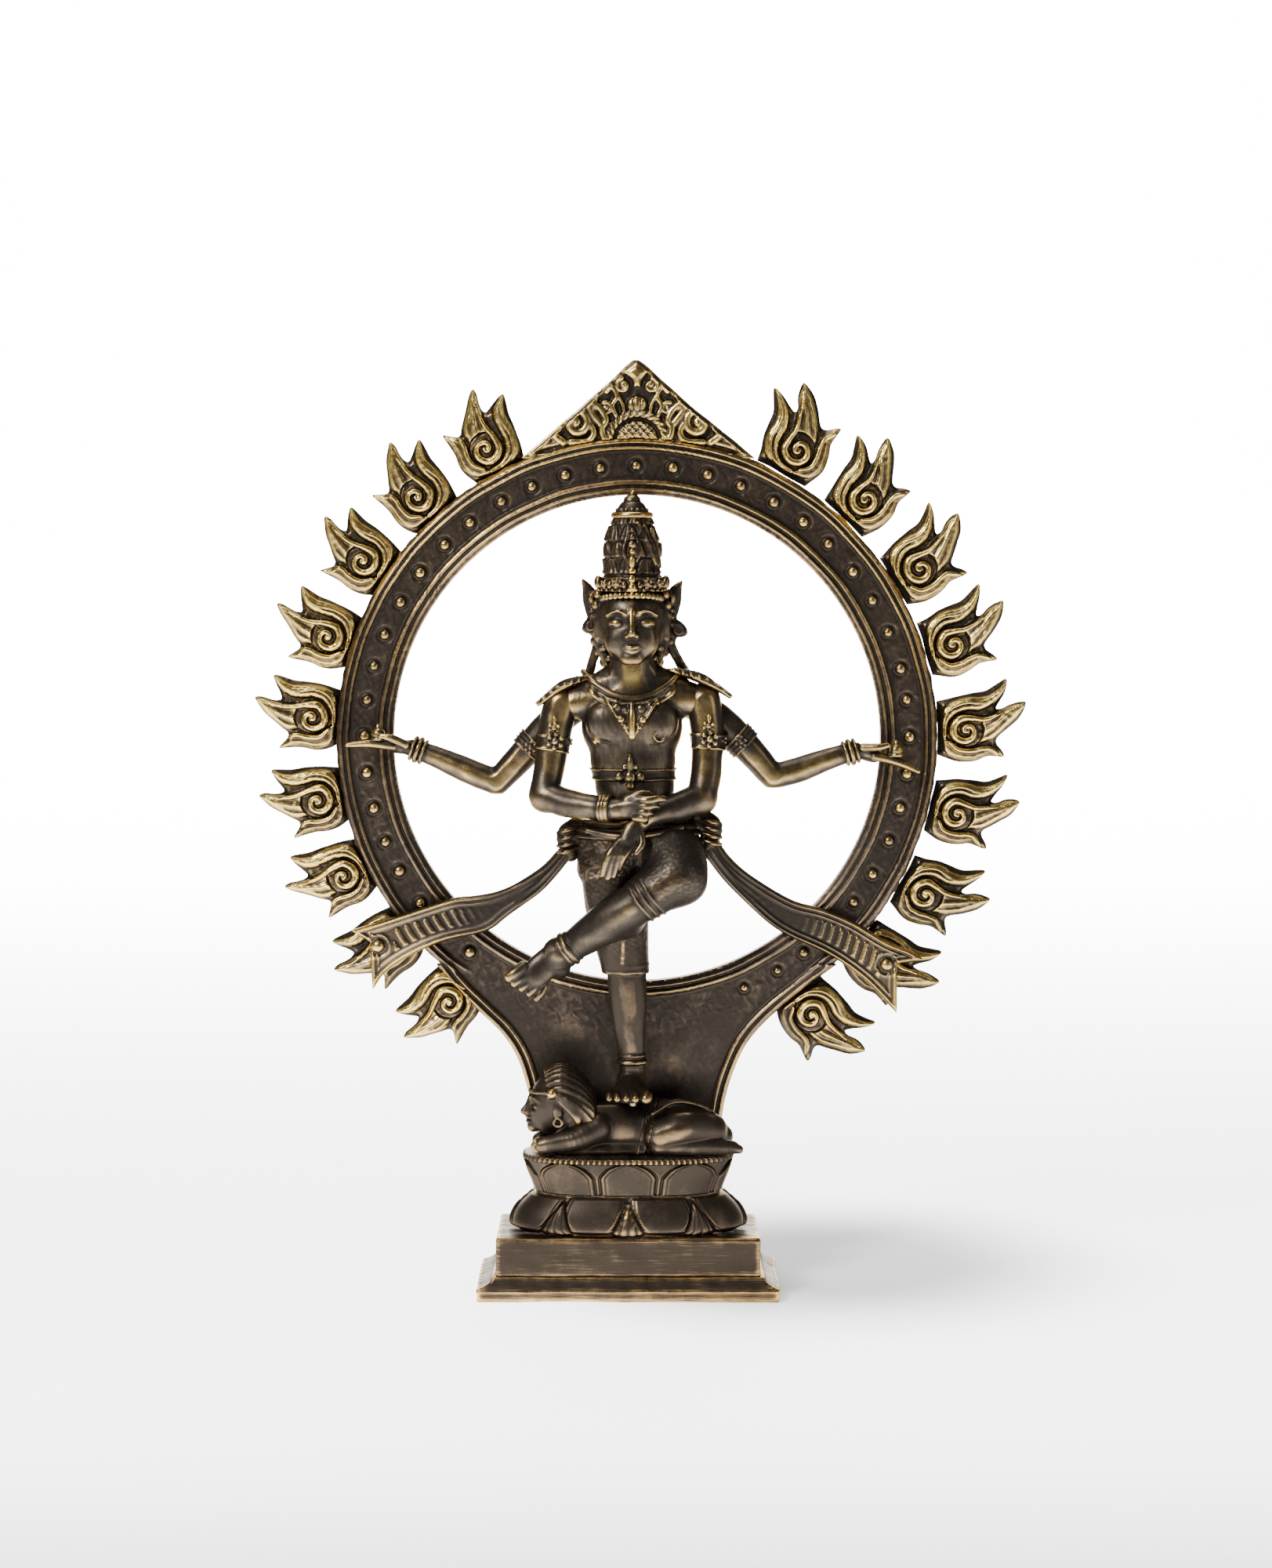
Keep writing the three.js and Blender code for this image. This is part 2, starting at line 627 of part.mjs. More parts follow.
function pegNut() {
  const top = LOTUS.top - WALL - GAP;
  return cut(
    post(PEG.nut, [top - PEG.nutHeight, top], PEG.x, FIGURE.y, 6),
    post(PEG.shank + GAP, [top - 10, top + 2], PEG.x, FIGURE.y, 12),
  );
}

// ---- assembly -----------------------------------------------------------------------------------
add(base, "plinth_foot", plinthFoot(), rubbed);
add(base, "plinth_block", plinthBlock(), patina);
add(base, "lotus_lower", lotusLower(), patina);
add(base, "lotus_upper", lotusUpper(), patina);
const skull = dwarfHead();
add(base, "dwarf_head", skull, patina);
add(base, "dwarf_body", dwarfBody(skull), patina);
for (const [side, s] of [["left", -1], ["right", 1]]) {
  const screw = add(base, `arch_screw_${side}`, archScrew(), steel);
  screw.position.set(NECK.middle + RING.x - BASE_X + s * SCREW.x, archMiddle, 0);
}
add(base, "figure_peg", figurePeg(), steel);
add(base, "peg_nut", pegNut(), steel);
add(aureole, "arch_ring", archRing(), patina);
add(aureole, "pediment", pediment(), bright);
addFlames("left", 1, LEFT_FLAMES);
addFlames("right", -1, RIGHT_FLAMES);
addBody();
addOrnaments();
addScarves();
addHeadDress();

const statue = new THREE.Group();
statue.add(base, aureole, figure);

export default statue;
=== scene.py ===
import bpy
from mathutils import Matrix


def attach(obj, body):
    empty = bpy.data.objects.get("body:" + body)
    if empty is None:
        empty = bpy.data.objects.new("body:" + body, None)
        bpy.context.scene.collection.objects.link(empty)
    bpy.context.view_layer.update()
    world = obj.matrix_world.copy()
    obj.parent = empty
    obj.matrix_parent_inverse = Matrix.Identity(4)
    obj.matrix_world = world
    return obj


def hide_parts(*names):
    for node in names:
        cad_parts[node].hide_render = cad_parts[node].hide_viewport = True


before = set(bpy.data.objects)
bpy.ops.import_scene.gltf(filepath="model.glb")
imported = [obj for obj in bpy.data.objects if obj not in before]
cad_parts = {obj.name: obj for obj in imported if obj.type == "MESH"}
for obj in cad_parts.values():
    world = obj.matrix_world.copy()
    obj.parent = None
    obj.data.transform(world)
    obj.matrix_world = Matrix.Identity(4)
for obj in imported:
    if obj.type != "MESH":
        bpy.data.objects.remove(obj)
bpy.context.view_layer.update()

import bpy, math, openvdb
import numpy as np
from mathutils import Vector

MM = 0.001
AXIS_X = -0.7   # the ring's axis; every shape below is modelled about it, in millimetres
EMPTY = 40.0   # the distance that a block of clay is filled with before anything is modelled in it
NEAR_SURFACE = 4.0   # how far from the surface a distance still matters when the surface is read off
LIMB_RADIUS = 3.4   # the joints of a strand are rounded off where it is all thicker than this
rng = np.random.default_rng(11)


# ---- shapes as signed distances ------------------------------------------------------------------

def vec(p):
    return np.array(p, float)


def length(*parts):
    return np.sqrt(sum(p * p for p in parts))


def step_up(low, high, t):
    """Goes smoothly from 0 at low to 1 at high; low may be the larger of the two."""
    s = np.clip((t - low) / (high - low), 0, 1)
    return s * s * (3 - 2 * s)


def ridge(d, at, width, height):
    return height * np.exp(-((d - at) / width) ** 2)


def rounded(share):
    """The height of a round back at a share of the way from its middle to its edge."""
    return np.sqrt(np.clip(1 - share ** 2, 0, 1))


def ball(c, r):
    """An ellipsoid with radii r, or a sphere where r is one number."""
    c = vec(c)
    r = vec([r, r, r] if np.isscalar(r) else r)

    def distance(x, y, z):
        x, y, z = x - c[0], y - c[1], z - c[2]
        near = length(x / r[0], y / r[1], z / r[2])
        slope = length(x / r[0] ** 2, y / r[1] ** 2, z / r[2] ** 2)
        return near * (near - 1) / np.maximum(slope, 1e-6)
    return distance, c - r, c + r


def rod(a, b, ra, rb=None, flat=None, thin=1.0):
    """A rod from a to b with round ends; along the direction flat it is only thin times as thick."""
    a, b = vec(a), vec(b)
    rb = ra if rb is None else rb
    run = b - a
    total = max(run @ run, 1e-9)
    n = None
    if flat is not None:
        n = vec(flat) - run * ((vec(flat) @ run) / total)
        n /= np.linalg.norm(n)

    def distance(x, y, z):
        x, y, z = x - a[0], y - a[1], z - a[2]
        t = np.clip((x * run[0] + y * run[1] + z * run[2]) / total, 0, 1)
        x, y, z = x - t * run[0], y - t * run[1], z - t * run[2]
        if n is not None:
            k = (x * n[0] + y * n[1] + z * n[2]) * (1 / thin - 1)
            x, y, z = x + k * n[0], y + k * n[1], z + k * n[2]
            return (length(x, y, z) - ra - t * (rb - ra)) * (0.5 + 0.5 * thin)
        return length(x, y, z) - ra - t * (rb - ra)
    reach = max(ra, rb)
    return distance, np.minimum(a, b) - reach, np.maximum(a, b) + reach


def slab(c, half, rounding):
    """A box with rounded edges."""
    c, half = vec(c), vec(half)

    def distance(x, y, z):
        x, y, z = (abs(p - c[i]) - half[i] + rounding for i, p in enumerate((x, y, z)))
        inside = np.minimum(np.maximum(np.maximum(x, y), z), 0)
        return length(np.maximum(x, 0), np.maximum(y, 0), np.maximum(z, 0)) + inside - rounding
    return distance, c - half, c + half


def hoop(c, along, radius, r):
    """A ring of round section r about the axis along."""
    c, u = vec(c), vec(along) / np.linalg.norm(along)

    def distance(x, y, z):
        x, y, z = x - c[0], y - c[1], z - c[2]
        h = x * u[0] + y * u[1] + z * u[2]
        out = np.sqrt(np.maximum(x * x + y * y + z * z - h * h, 0))
        return length(out - radius, h) - r
    return distance, c - radius - r, c + radius + r


def smooth_path(points, per=5):
    """A curve through points of any number of values each, with per steps between two of them."""
    p = np.array(points, float)
    p = np.vstack([2 * p[0] - p[1], p, 2 * p[-1] - p[-2]])
    out = []
    for i in range(1, len(p) - 2):
        for t in np.arange(per) / per:
            out.append(0.5 * (2 * p[i] + (p[i + 1] - p[i - 1]) * t
                       + (2 * p[i - 1] - 5 * p[i] + 4 * p[i + 1] - p[i + 2]) * t * t
                       + (3 * p[i] - p[i - 1] - 3 * p[i + 1] + p[i + 2]) * t ** 3))
    return np.array(out + [p[-2]])


def wobble(x, y, z, size, seed=0, waves=7):
    """A slow irregular swell from -1 to 1 over about size millimetres."""
    r = np.random.default_rng(seed)
    total = 0
    for _ in range(waves):
        k = r.normal(size=3)
        k *= r.uniform(0.6, 1.4) * 2 * math.pi / (size * np.linalg.norm(k))
        total = total + np.sin(k[0] * x + k[1] * y + k[2] * z + r.uniform(0, 6.28))
    return total / waves * 1.6


def box_mean(level, n):
    """Averages a volume over cubes that reach n cells each way."""
    for axis in range(3):
        ends = [(n + 1, n) if k == axis else (0, 0) for k in range(3)]
        total = np.cumsum(np.pad(level, ends, mode="edge"), axis=axis, dtype=np.float64)
        count = total.shape[axis]
        level = np.take(total, range(2 * n + 1, count), axis) - np.take(total, range(count - 2 * n - 1), axis)
        level = (level / (2 * n + 1)).astype(np.float32)
    return level


def relief_from(near, far, near_full, far_full):
    """Relief from -1 to 1, out of how proud a place is of its close and of its wider surroundings."""
    return np.clip(near / near_full, -1, 1) * 0.45 + np.clip(far / far_full, -1, 1) * 0.55


class Clay:
    """A block of space in which a piece is modelled by adding and cutting shapes."""

    def __init__(self, low, high, step=0.45):
        counts = np.ceil((vec(high) - vec(low)) / step).astype(int) + 1
        axes = [(low[i] + step * np.arange(counts[i])).astype(np.float32) for i in range(3)]
        self._start(vec(low), axes, step)

    def _start(self, low, axes, step):
        self.low, self.axes, self.step = low, axes, step
        self.d = np.full([len(axis) for axis in axes], EMPTY, np.float32)

    def part(self, low, axes):
        """A new block on axes that are this one's, or stretches of them."""
        made = Clay.__new__(Clay)
        made._start(low, axes, self.step)
        return made

    def cells(self):
        """The x, y and z of all cells, each along its own direction of the block."""
        x, y, z = self.axes
        return x[:, None, None], y[None, :, None], z[None, None, :]

    def _window(self, low, high):
        s = []
        for i in range(3):
            a = int(np.floor((low[i] - self.low[i]) / self.step))
            b = int(np.ceil((high[i] - self.low[i]) / self.step)) + 1
            s.append(slice(min(max(a, 0), len(self.axes[i])), max(min(b, len(self.axes[i])), 0)))
        x, y, z = (self.axes[i][s[i]] for i in range(3))
        return tuple(s), x[:, None, None], y[None, :, None], z[None, None, :]

    def _blend(self, s, new, soft, cut=False):
        old = -self.d[s] if cut else self.d[s]
        if soft:
            h = np.clip(0.5 + 0.5 * (old - new) / soft, 0, 1)
            made = old * (1 - h) + new * h - soft * h * (1 - h)
        else:
            made = np.minimum(old, new)
        self.d[s] = -made if cut else made

    def add(self, shape, soft=0.0, cut=False):
        """Joins a shape on; soft is how wide the fillet between the two is."""
        distance, low, high = shape
        pad = soft + 2 * self.step
        s, x, y, z = self._window(low - pad, high + pad)
        if self.d[s].size:
            self._blend(s, distance(x, y, z), soft, cut)
        return self

    def cut(self, shape, soft=0.0):
        return self.add(shape, soft, cut=True)

    def strand(self, points, soft=0.0, flat=None, thin=1.0, per=4):
        """A limb or cord through points [x, y, z, radius]."""
        path = smooth_path(points, per)
        rods = [rod(p[:3], q[:3], p[3], q[3], flat, thin) for p, q in zip(path[:-1], path[1:])]
        low = np.min([r[1] for r in rods], axis=0)
        high = np.max([r[2] for r in rods], axis=0)
        pad = soft + 2 * self.step
        s, x, y, z = self._window(low - pad, high + pad)
        axes = [x.ravel(), y.ravel(), z.ravel()]
        if not all(len(axis) for axis in axes):
            return self
        limb = self.part(vec([axis[0] for axis in axes]), axes)
        for r in rods:
            limb.add(r)
        stride = np.linalg.norm(np.diff(path[:, :3], axis=0), axis=1).mean()
        n = int(round(0.6 * stride / self.step))
        if path[:, 3].min() > LIMB_RADIUS and n:
            limb.d = box_mean(np.clip(limb.d, -8, 8), min(n, 5))
        self._blend(s, limb.d, soft)
        return self

    def carve(self, depth):
        """Moves the surface inwards by depth(x, y, z), or outwards where it is negative."""
        self.d += depth(*self.cells())
        return self

    def above(self, z):
        self.d = np.maximum(self.d, z - self.cells()[2])
        return self

    def plate(self, plan, front, back, steep=1.0):
        """Fills an outline between its front and its back; all three are given over x and z."""
        plan, front, back = (np.broadcast_to(p, plan.shape)[:, None, :] for p in (plan, front, back))
        y = self.cells()[1]
        self.d = np.maximum(np.maximum(plan, (front - y) * steep), y - back).astype(np.float32)

    def faces(self):
        """The points and quads of the surface, and the relief at each point."""
        grid = openvdb.FloatGrid(NEAR_SURFACE)
        level = np.clip(self.d, -NEAR_SURFACE, NEAR_SURFACE)
        grid.copyFromArray(np.ascontiguousarray(level, np.float32))
        points, quads = grid.convertToQuads(isovalue=0.0)
        at, quads = np.array(points, float), np.array(quads)
        near, far = self._standing_out(1.05, at, level), self._standing_out(2.25, at, level)
        relief = relief_from(near - np.median(near), far - np.median(far), 0.12, 0.5)
        for push in (1.0, -1.03):   # smooths away the steps of the grid without shrinking the piece
            at = at + push * 0.7 * (spread(at, quads, 1) - at)
        return self.low + at * self.step, quads, relief

    def _standing_out(self, reach, at, level):
        """How proud the places at are of the surface averaged over a box that reaches so far."""
        level = box_mean(level, max(int(round(reach / self.step)), 1))
        floor = np.clip(np.floor(at).astype(int), 0, np.array(level.shape) - 2)
        part = at - floor
        found = np.zeros(len(at))
        for corner in range(8):
            step = np.array([corner & 1, corner >> 1 & 1, corner >> 2])
            share = np.where(step, part, 1 - part).prod(axis=1)
            found += share * level[tuple((floor + step).T)]
        return found


# ---- meshes --------------------------------------------------------------------------------------

def facing_out(v, q):
    """The quads q turned, if need be, so that they face out of the closed piece they form."""
    volume = sum(np.einsum("ij,ij->i", v[q[:, 0]], np.cross(v[q[:, c]], v[q[:, c + 1]])).sum() for c in (1,
                                                                                                         2))
    return q[:, ::-1] if volume < 0 else q


def spread(values, q, rounds):
    """Averages values with those of the neighbouring vertices, over and over."""
    i = np.concatenate([q[:, c] for c in range(4)] + [q[:, (c + 1) % 4] for c in range(4)])
    j = np.concatenate([q[:, (c + 1) % 4] for c in range(4)] + [q[:, c] for c in range(4)])
    share = np.maximum(np.bincount(i, minlength=len(values)), 1)
    columns = values.reshape(len(values), -1)
    for _ in range(rounds):
        total = [np.bincount(i, columns[j, k], len(values)) for k in range(columns.shape[1])]
        columns = 0.4 * columns + 0.6 * np.stack(total, 1) / share[:, None]
    return columns.reshape(values.shape)


def mesh_relief(v, q):
    """The relief of a piece that is made as a mesh, without clay."""
    across = np.cross(v[q[:, 2]] - v[q[:, 0]], v[q[:, 3]] - v[q[:, 1]])
    n = np.zeros_like(v)
    for k in range(3):
        for c in range(4):
            n[:, k] += np.bincount(q[:, c], across[:, k], len(v))
    n /= np.maximum(np.linalg.norm(n, axis=1, keepdims=True), 1e-12)
    near, far = (np.einsum("ij,ij->i", v - spread(v, q, rounds), n) for rounds in (3, 14))
    return relief_from(near, far, 0.09, 0.45)


def grid_faces(rows, columns):
    """Quads over a grid of points that closes on itself both ways."""
    r, c = np.meshgrid(np.arange(rows), np.arange(columns), indexing="ij")
    r2, c2 = (r + 1) % rows, (c + 1) % columns
    at = lambda a, b: (a * columns + b).ravel()
    return np.stack([at(r, c), at(r, c2), at(r2, c2), at(r2, c)], 1)


def cast(node, faces, material, gold, name=None):
    """Makes the visual piece of a node. The metal is worn bright where its relief is high, and gold,
    a number, an array or a function of x, y and z, is rubbing on top of that, and on some pieces painted
    light and shade as well."""
    v, q, relief = faces
    q = facing_out(v, q)
    wear_and_light = np.broadcast_to(gold(*v.T) if callable(gold) else gold, len(v))
    name = name or f"{node}_casting"
    mesh = bpy.data.meshes.new(name)
    mesh.vertices.add(len(v))
    mesh.vertices.foreach_set("co", ((v + [AXIS_X, 0, 0]) * MM).astype(np.float32).ravel())
    mesh.loops.add(q.size)
    mesh.loops.foreach_set("vertex_index", q.astype(np.int32).ravel())
    mesh.polygons.add(len(q))
    mesh.polygons.foreach_set("loop_start", np.arange(0, q.size, 4, dtype=np.int32))
    mesh.update(calc_edges=True)
    mesh.polygons.foreach_set("use_smooth", np.ones(len(q), bool))
    for label, value in (("relief", relief), ("gold", np.clip(wear_and_light, -1, 1.5))):
        layer = mesh.attributes.new(label, "FLOAT", "POINT")
        layer.data.foreach_set("value", value.astype(np.float32))
    mesh.validate()
    piece = bpy.data.objects.new(name, mesh)
    bpy.context.scene.collection.objects.link(piece)
    mesh.materials.append(material)
    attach(piece, "root")
    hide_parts(node)


# ---- materials -----------------------------------------------------------------------------------

# the metal as it wears, and as painted light and shade on some pieces raise or lower it: patina in the
# hollows, brown, bronze, gold, and bright brass on what stands proud
PATINA = ((0.0, (0.020, 0.0165, 0.0135)), (0.20, (0.072, 0.057, 0.043)), (0.42, (0.160, 0.115, 0.066)),
          (0.68, (0.44, 0.30, 0.105)), (1.0, (0.82, 0.60, 0.185)))
METALLIC = ((0.0, 0.7), (0.25, 0.97), (1.0, 1.0))
ROUGHNESS = ((0.0, 0.42), (0.3, 0.31), (1.0, 0.24))


def brass(name, lift=0.0, contrast=1.0, grain=1.0, brushed=0.0, tint=(1, 1, 1)):
    """Cast brass under a dark patina. lift is how far all of it is worn, contrast how much the relief
    counts, grain the depth of the fine pitting, and brushed the strength of streaks along X."""
    m = bpy.data.materials.new(name)
    m.use_nodes = True
    nodes, links = m.node_tree.nodes, m.node_tree.links
    shader = next(n for n in nodes if n.type == "BSDF_PRINCIPLED")

    def node(kind, **settings):
        made = nodes.new(kind)
        for key, value in settings.items():
            if key in made.inputs:
                made.inputs[key].default_value = value
            else:
                setattr(made, key, value)
        return made

    def maths(operation, a, b=None, c=None, clamp=False):
        made = node("ShaderNodeMath", operation=operation, use_clamp=clamp)
        for i, value in enumerate((a, b, c)):
            if isinstance(value, (int, float)):
                made.inputs[i].default_value = value
            elif value is not None:
                links.new(value, made.inputs[i])
        return made.outputs[0]

    place = node("ShaderNodeTexCoord").outputs["Object"]

    def noise(scale, detail, stretch=None):
        made = node("ShaderNodeTexNoise", Scale=scale, Detail=detail, Roughness=0.6)
        at = place
        if stretch:
            turn = node("ShaderNodeMapping")
            turn.inputs["Scale"].default_value = stretch
            links.new(place, turn.inputs["Vector"])
            at = turn.outputs[0]
        links.new(at, made.inputs["Vector"])
        return made.outputs["Fac"]

    def ramp(stops):
        made = node("ShaderNodeValToRGB")
        made.color_ramp.interpolation = "B_SPLINE" if len(stops) > 3 else "LINEAR"
        elements = made.color_ramp.elements
        while len(elements) < len(stops):
            elements.new(0.5)
        for element, (at, color) in zip(elements, stops):
            element.position = at
            element.color = (color, color, color, 1) if np.isscalar(color) else (*color, 1)
        links.new(wear_and_light, made.inputs[0])
        return made.outputs["Color"]

    gold = node("ShaderNodeAttribute", attribute_name="gold").outputs["Fac"]
    relief = node("ShaderNodeAttribute", attribute_name="relief").outputs["Fac"]
    patches, blotches, specks = noise(55, 4), noise(230, 5), noise(1500, 3)   # 18, 4 and 0.7 mm
    hairlines = noise(300, 2, stretch=(0.25, 1, 9)) if brushed else blotches
    # the relief's rubbing plus the gold attribute, which on some pieces carries painted light and shade
    wear_and_light = maths("MULTIPLY_ADD", relief, 0.75 * contrast, gold)
    wear_and_light = maths("ADD", wear_and_light, lift + 0.02)
    for pattern, amount in ((patches, 0.6), (blotches, 0.34), (specks, 0.14)):
        wear_and_light = maths("MULTIPLY_ADD", maths("SUBTRACT", pattern, 0.5), amount, wear_and_light)
    wear_and_light = maths("MULTIPLY_ADD", maths("SUBTRACT", hairlines, 0.5), 0.9 * brushed, wear_and_light, clamp=True)
    color = ramp([(at, [min(1, c * t) for c, t in zip(rgb, tint)]) for at, rgb in PATINA])
    links.new(color, shader.inputs["Base Color"])
    links.new(ramp(METALLIC), shader.inputs["Metallic"])
    rough = maths("MULTIPLY_ADD", maths("SUBTRACT", blotches, 0.5), 0.22, ramp(ROUGHNESS), clamp=True)
    links.new(rough, shader.inputs["Roughness"])
    shader.inputs["Specular Tint"].default_value = (0.50, 0.45, 0.38, 1)
    bump = node("ShaderNodeBump", Strength=0.4 * grain, Distance=0.00016)
    links.new(maths("MULTIPLY_ADD", hairlines, 0.8, specks), bump.inputs["Height"])
    links.new(bump.outputs[0], shader.inputs["Normal"])
    return m


DARK = brass("dark_patina", lift=-0.01, contrast=0.5, tint=(1.05, 0.985, 0.92))
RUBBED = brass("rubbed_brass", lift=0.10, contrast=0.5)
GOLDEN = brass("golden_brass", lift=0.24, contrast=0.45)
BRUSHED = brass("brushed_brass", lift=-0.01, contrast=0.6, brushed=1.15, tint=(1.08, 0.97, 0.86))
SHEET = brass("panel_brass", lift=0.03, contrast=0.6, grain=1.1, tint=(1.03, 0.99, 1.0))


# ---- base ----------------------------------------------------------------------------------------

BASE_X = -3.6
AROUND = 760   # places round a tier of the lotus
OVAL_POWER = 1 / 1.35   # below 1 squares off the tiers' oval plan, which is half as deep as it is wide
TIER_WALL = 3.0
PETALS = 8


def model_foot():
    clay = Clay((BASE_X - 63, -32, -2), (BASE_X + 63, 32, 11), 0.6)
    clay.add(slab((BASE_X, 0, 2.4), (61, 30, 2.4), 0.7))
    for i in range(7):
        t = i / 6
        grow = 6.2 * (1 - t) ** 2.2
        clay.add(slab((BASE_X, 0, 4.4 + 4.4 * t), (55 + grow, 27 + 0.5 * grow, 0.8), 0.4), 0.8)
    clay.carve(lambda x, y, z: 0.32 * wobble(x, y, z * 2, 34, 3) + 0.12 * wobble(x, y, z, 7, 4))
    clay.cut(slab((BASE_X, 0, 4), (48.5, 20.5, 8), 1))
    clay.above(0.0)
    edge = lambda x, y, z: 0.32 * step_up(0.2, 1.6, z) * step_up(5.2, 3.6, z) + 0.05
    cast("plinth_foot", clay.faces(), BRUSHED, edge)


def model_block():
    clay = Clay((BASE_X - 57, -29, 6.5), (BASE_X + 57, 29, 27), 0.6)
    clay.add(slab((BASE_X, 0, 17), (53.4, 25.6, 8.1), 1.1))
    clay.carve(lambda x, y, z: 0.4 * wobble(x, y, z * 2, 40, 5) + 0.14 * wobble(x, y, z, 9, 6))
    clay.cut(slab((BASE_X, 0, 12), (50, 22.3, 10), 1))
    clay.cut(slab((BASE_X, 0, 22), (31, 17, 8), 1))
    clay.above(8.9)
    cast("plinth_block", clay.faces(), BRUSHED, -0.05)


def model_tier(node, rows, petals, gold, roof=0):
    """A hollow oval tier. rows are [height, width] from the bottom up, roof is the thickness of its
    top, if it has one, and petals(s, h, perimeter) is its carving, where s is the distance round it
    from the middle of the front and h runs from 0 to 1 up it."""
    rows = smooth_path(rows, 22)
    bottom, top = rows[0, 0], rows[-1, 0]
    a = np.linspace(0, 2 * math.pi, AROUND, endpoint=False) - math.pi / 2
    ux = np.sign(np.cos(a)) * abs(np.cos(a)) ** OVAL_POWER
    uy = np.sign(np.sin(a)) * abs(np.sin(a)) ** OVAL_POWER * 0.5
    px, py = rows[:, 1].max() / 2 * ux, rows[:, 1].max() / 2 * uy
    stride = np.hypot(np.roll(px, -1) - px, np.roll(py, -1) - py)
    perimeter = stride.sum()
    s = (np.cumsum(stride) - stride + perimeter / 2) % perimeter - perimeter / 2
    nx, ny = np.roll(py, -1) - np.roll(py, 1), np.roll(px, 1) - np.roll(px, -1)
    nx, ny = nx / np.hypot(nx, ny), ny / np.hypot(nx, ny)
    out = petals(s[None, :], ((rows[:, 0] - bottom) / (top - bottom))[:, None], perimeter)
    half = rows[:, 1:2] / 2
    outer = np.stack([half * ux + out * nx + BASE_X, half * uy + out * ny, rows[:, :1] + 0 * out], -1)

    def oval(wide, deep, z):
        return np.stack([wide * ux + BASE_X, deep * uy, z + 0 * ux], -1)
    inside = [(width / 2 - TIER_WALL, min(z, top - roof)) for z, width in rows[::-11]]
    inner = [oval(wide, wide - TIER_WALL / 2, z) for wide, z in inside]
    if roof:
        wide, z = inside[0]
        cap = [oval(k * rows[-1, 1] / 2, k * rows[-1, 1] / 2, top) for k in (0.975, 0.93, 0.8, 0.6, 0.4, 0.2,
                                                                             0.02)]
        ceiling = [oval(k * wide, k * (wide - TIER_WALL / 2), z) for k in (0.02, 0.4, 0.8)]
        inner = cap + ceiling + inner
    shell = np.concatenate([outer, inner])
    v = shell.reshape(-1, 3)
    q = facing_out(v, grid_faces(len(shell), AROUND))
    cast(node, (v, q, mesh_relief(v, q)), DARK, gold)


def groove(d, width, depth):
    return -ridge(d, 0, width, depth)


def lower_petals(s, h, perimeter):
    """Broad petals that hang down, with a pleated dart between two of them."""
    pitch = perimeter / PETALS
    t = (((s / pitch) % 1) - 0.5) * pitch
    down = np.clip(1 - h, 0, 1)
    reach = np.where(down >= 0.985, 0, 0.485 * pitch * (1 - down ** 3.2) ** 0.42)
    d = abs(t) - reach
    body = 1.7 * step_up(0.4, -2.6, d) * step_up(1.02, 0.86, down)
    lines = groove(d, 0.55, 0.9) + groove(d + 2.6, 0.5, 0.45) * step_up(0.9, 0.8, down)
    side = pitch / 2 - abs(t)
    width = 6.6 * np.clip(1 - (h - 0.08) / 0.8, 0, 1) ** 0.9
    share = side / np.maximum(width, 0.2)
    dart = 3.0 * rounded(share) ** 1.4 + groove(share - 0.55, 0.09, 0.5) + groove(share, 0.1, 0.5)
    dart = dart * step_up(0.9, 0.84, h) * (side < width)
    dart += groove(side - width - 0.5, 0.5, 0.8) * step_up(0.9, 0.8, h)
    body = np.where(side < width + 0.6, 0, body)
    return (np.maximum(body + lines, dart) - 0.6) * step_up(0.0, 0.05, h) * step_up(1.0, 0.93, h)


def upper_petals(s, h, perimeter):
    """Petals that stand up under a toothed rim."""
    pitch = perimeter / PETALS
    t = (((s / pitch) + 0.5) % 1 - 0.5) * pitch
    arch = 0.5 * pitch * (1 - np.clip(h / 0.86, 0, 1) ** 3) ** 0.5
    d = abs(t) - np.clip(arch, 0, 0.46 * pitch)
    body = 1.1 * step_up(0.4, -2.2, d)
    lines = groove(d, 0.5, 0.8) + groove(d + 2.4, 0.45, 0.5)
    edge = ridge(d, -1.2, 0.6, 0.6) * step_up(0.3, 0.7, h)
    teeth = 0.55 * np.cos(s / 2.3 * 2 * math.pi)
    rim = step_up(0.84, 0.88, h)
    carved = (body + lines + edge) * (1 - rim) + rim * (1.0 + teeth * step_up(1.0, 0.97, h))
    return (carved - 0.5) * step_up(0.0, 0.05, h) * step_up(1.0, 0.985, h)


def model_lotus():
    gold = lambda x, y, z: -0.01 + 0.22 * step_up(29.5, 26.5, z)
    model_tier("lotus_lower", [[25.4, 90], [27.5, 93.4], [31, 92], [35.5, 86.5], [40.5, 76.5]], lower_petals,
               gold)
    gold = lambda x, y, z: 0.28 * step_up(53.6, 55.2, z) * step_up(-12, -17, y)
    model_tier("lotus_upper", [[40.9, 75.6], [45, 78.5], [50, 82.5], [54.5, 84.5], [56.5, 84]], upper_petals,
               gold,
               roof=3.2)


# ---- the ring and the fan below it ---------------------------------------------------------------

RING_Z = 224.8
RING_INSIDE, RING_OUTSIDE = 99.9, 123.3   # radii of the band
BOSS_RADIUS, BOSS_PITCH = 111.8, 7.47   # where the row of bosses runs, and the degrees between two
FAN_LEFT = [(-83, 132), (-75, 122), (-64.7, 111.8), (-55.8, 103), (-49.5, 93), (-45.4, 80.3), (-42.2, 66),
            (-41, 55)]
FAN_RIGHT = [(83, 132), (70, 122.5), (54.8, 109.7), (45.2, 98.5), (39.4, 85.8), (36.1, 73.9), (34.9, 64),
             (34.4, 55)]


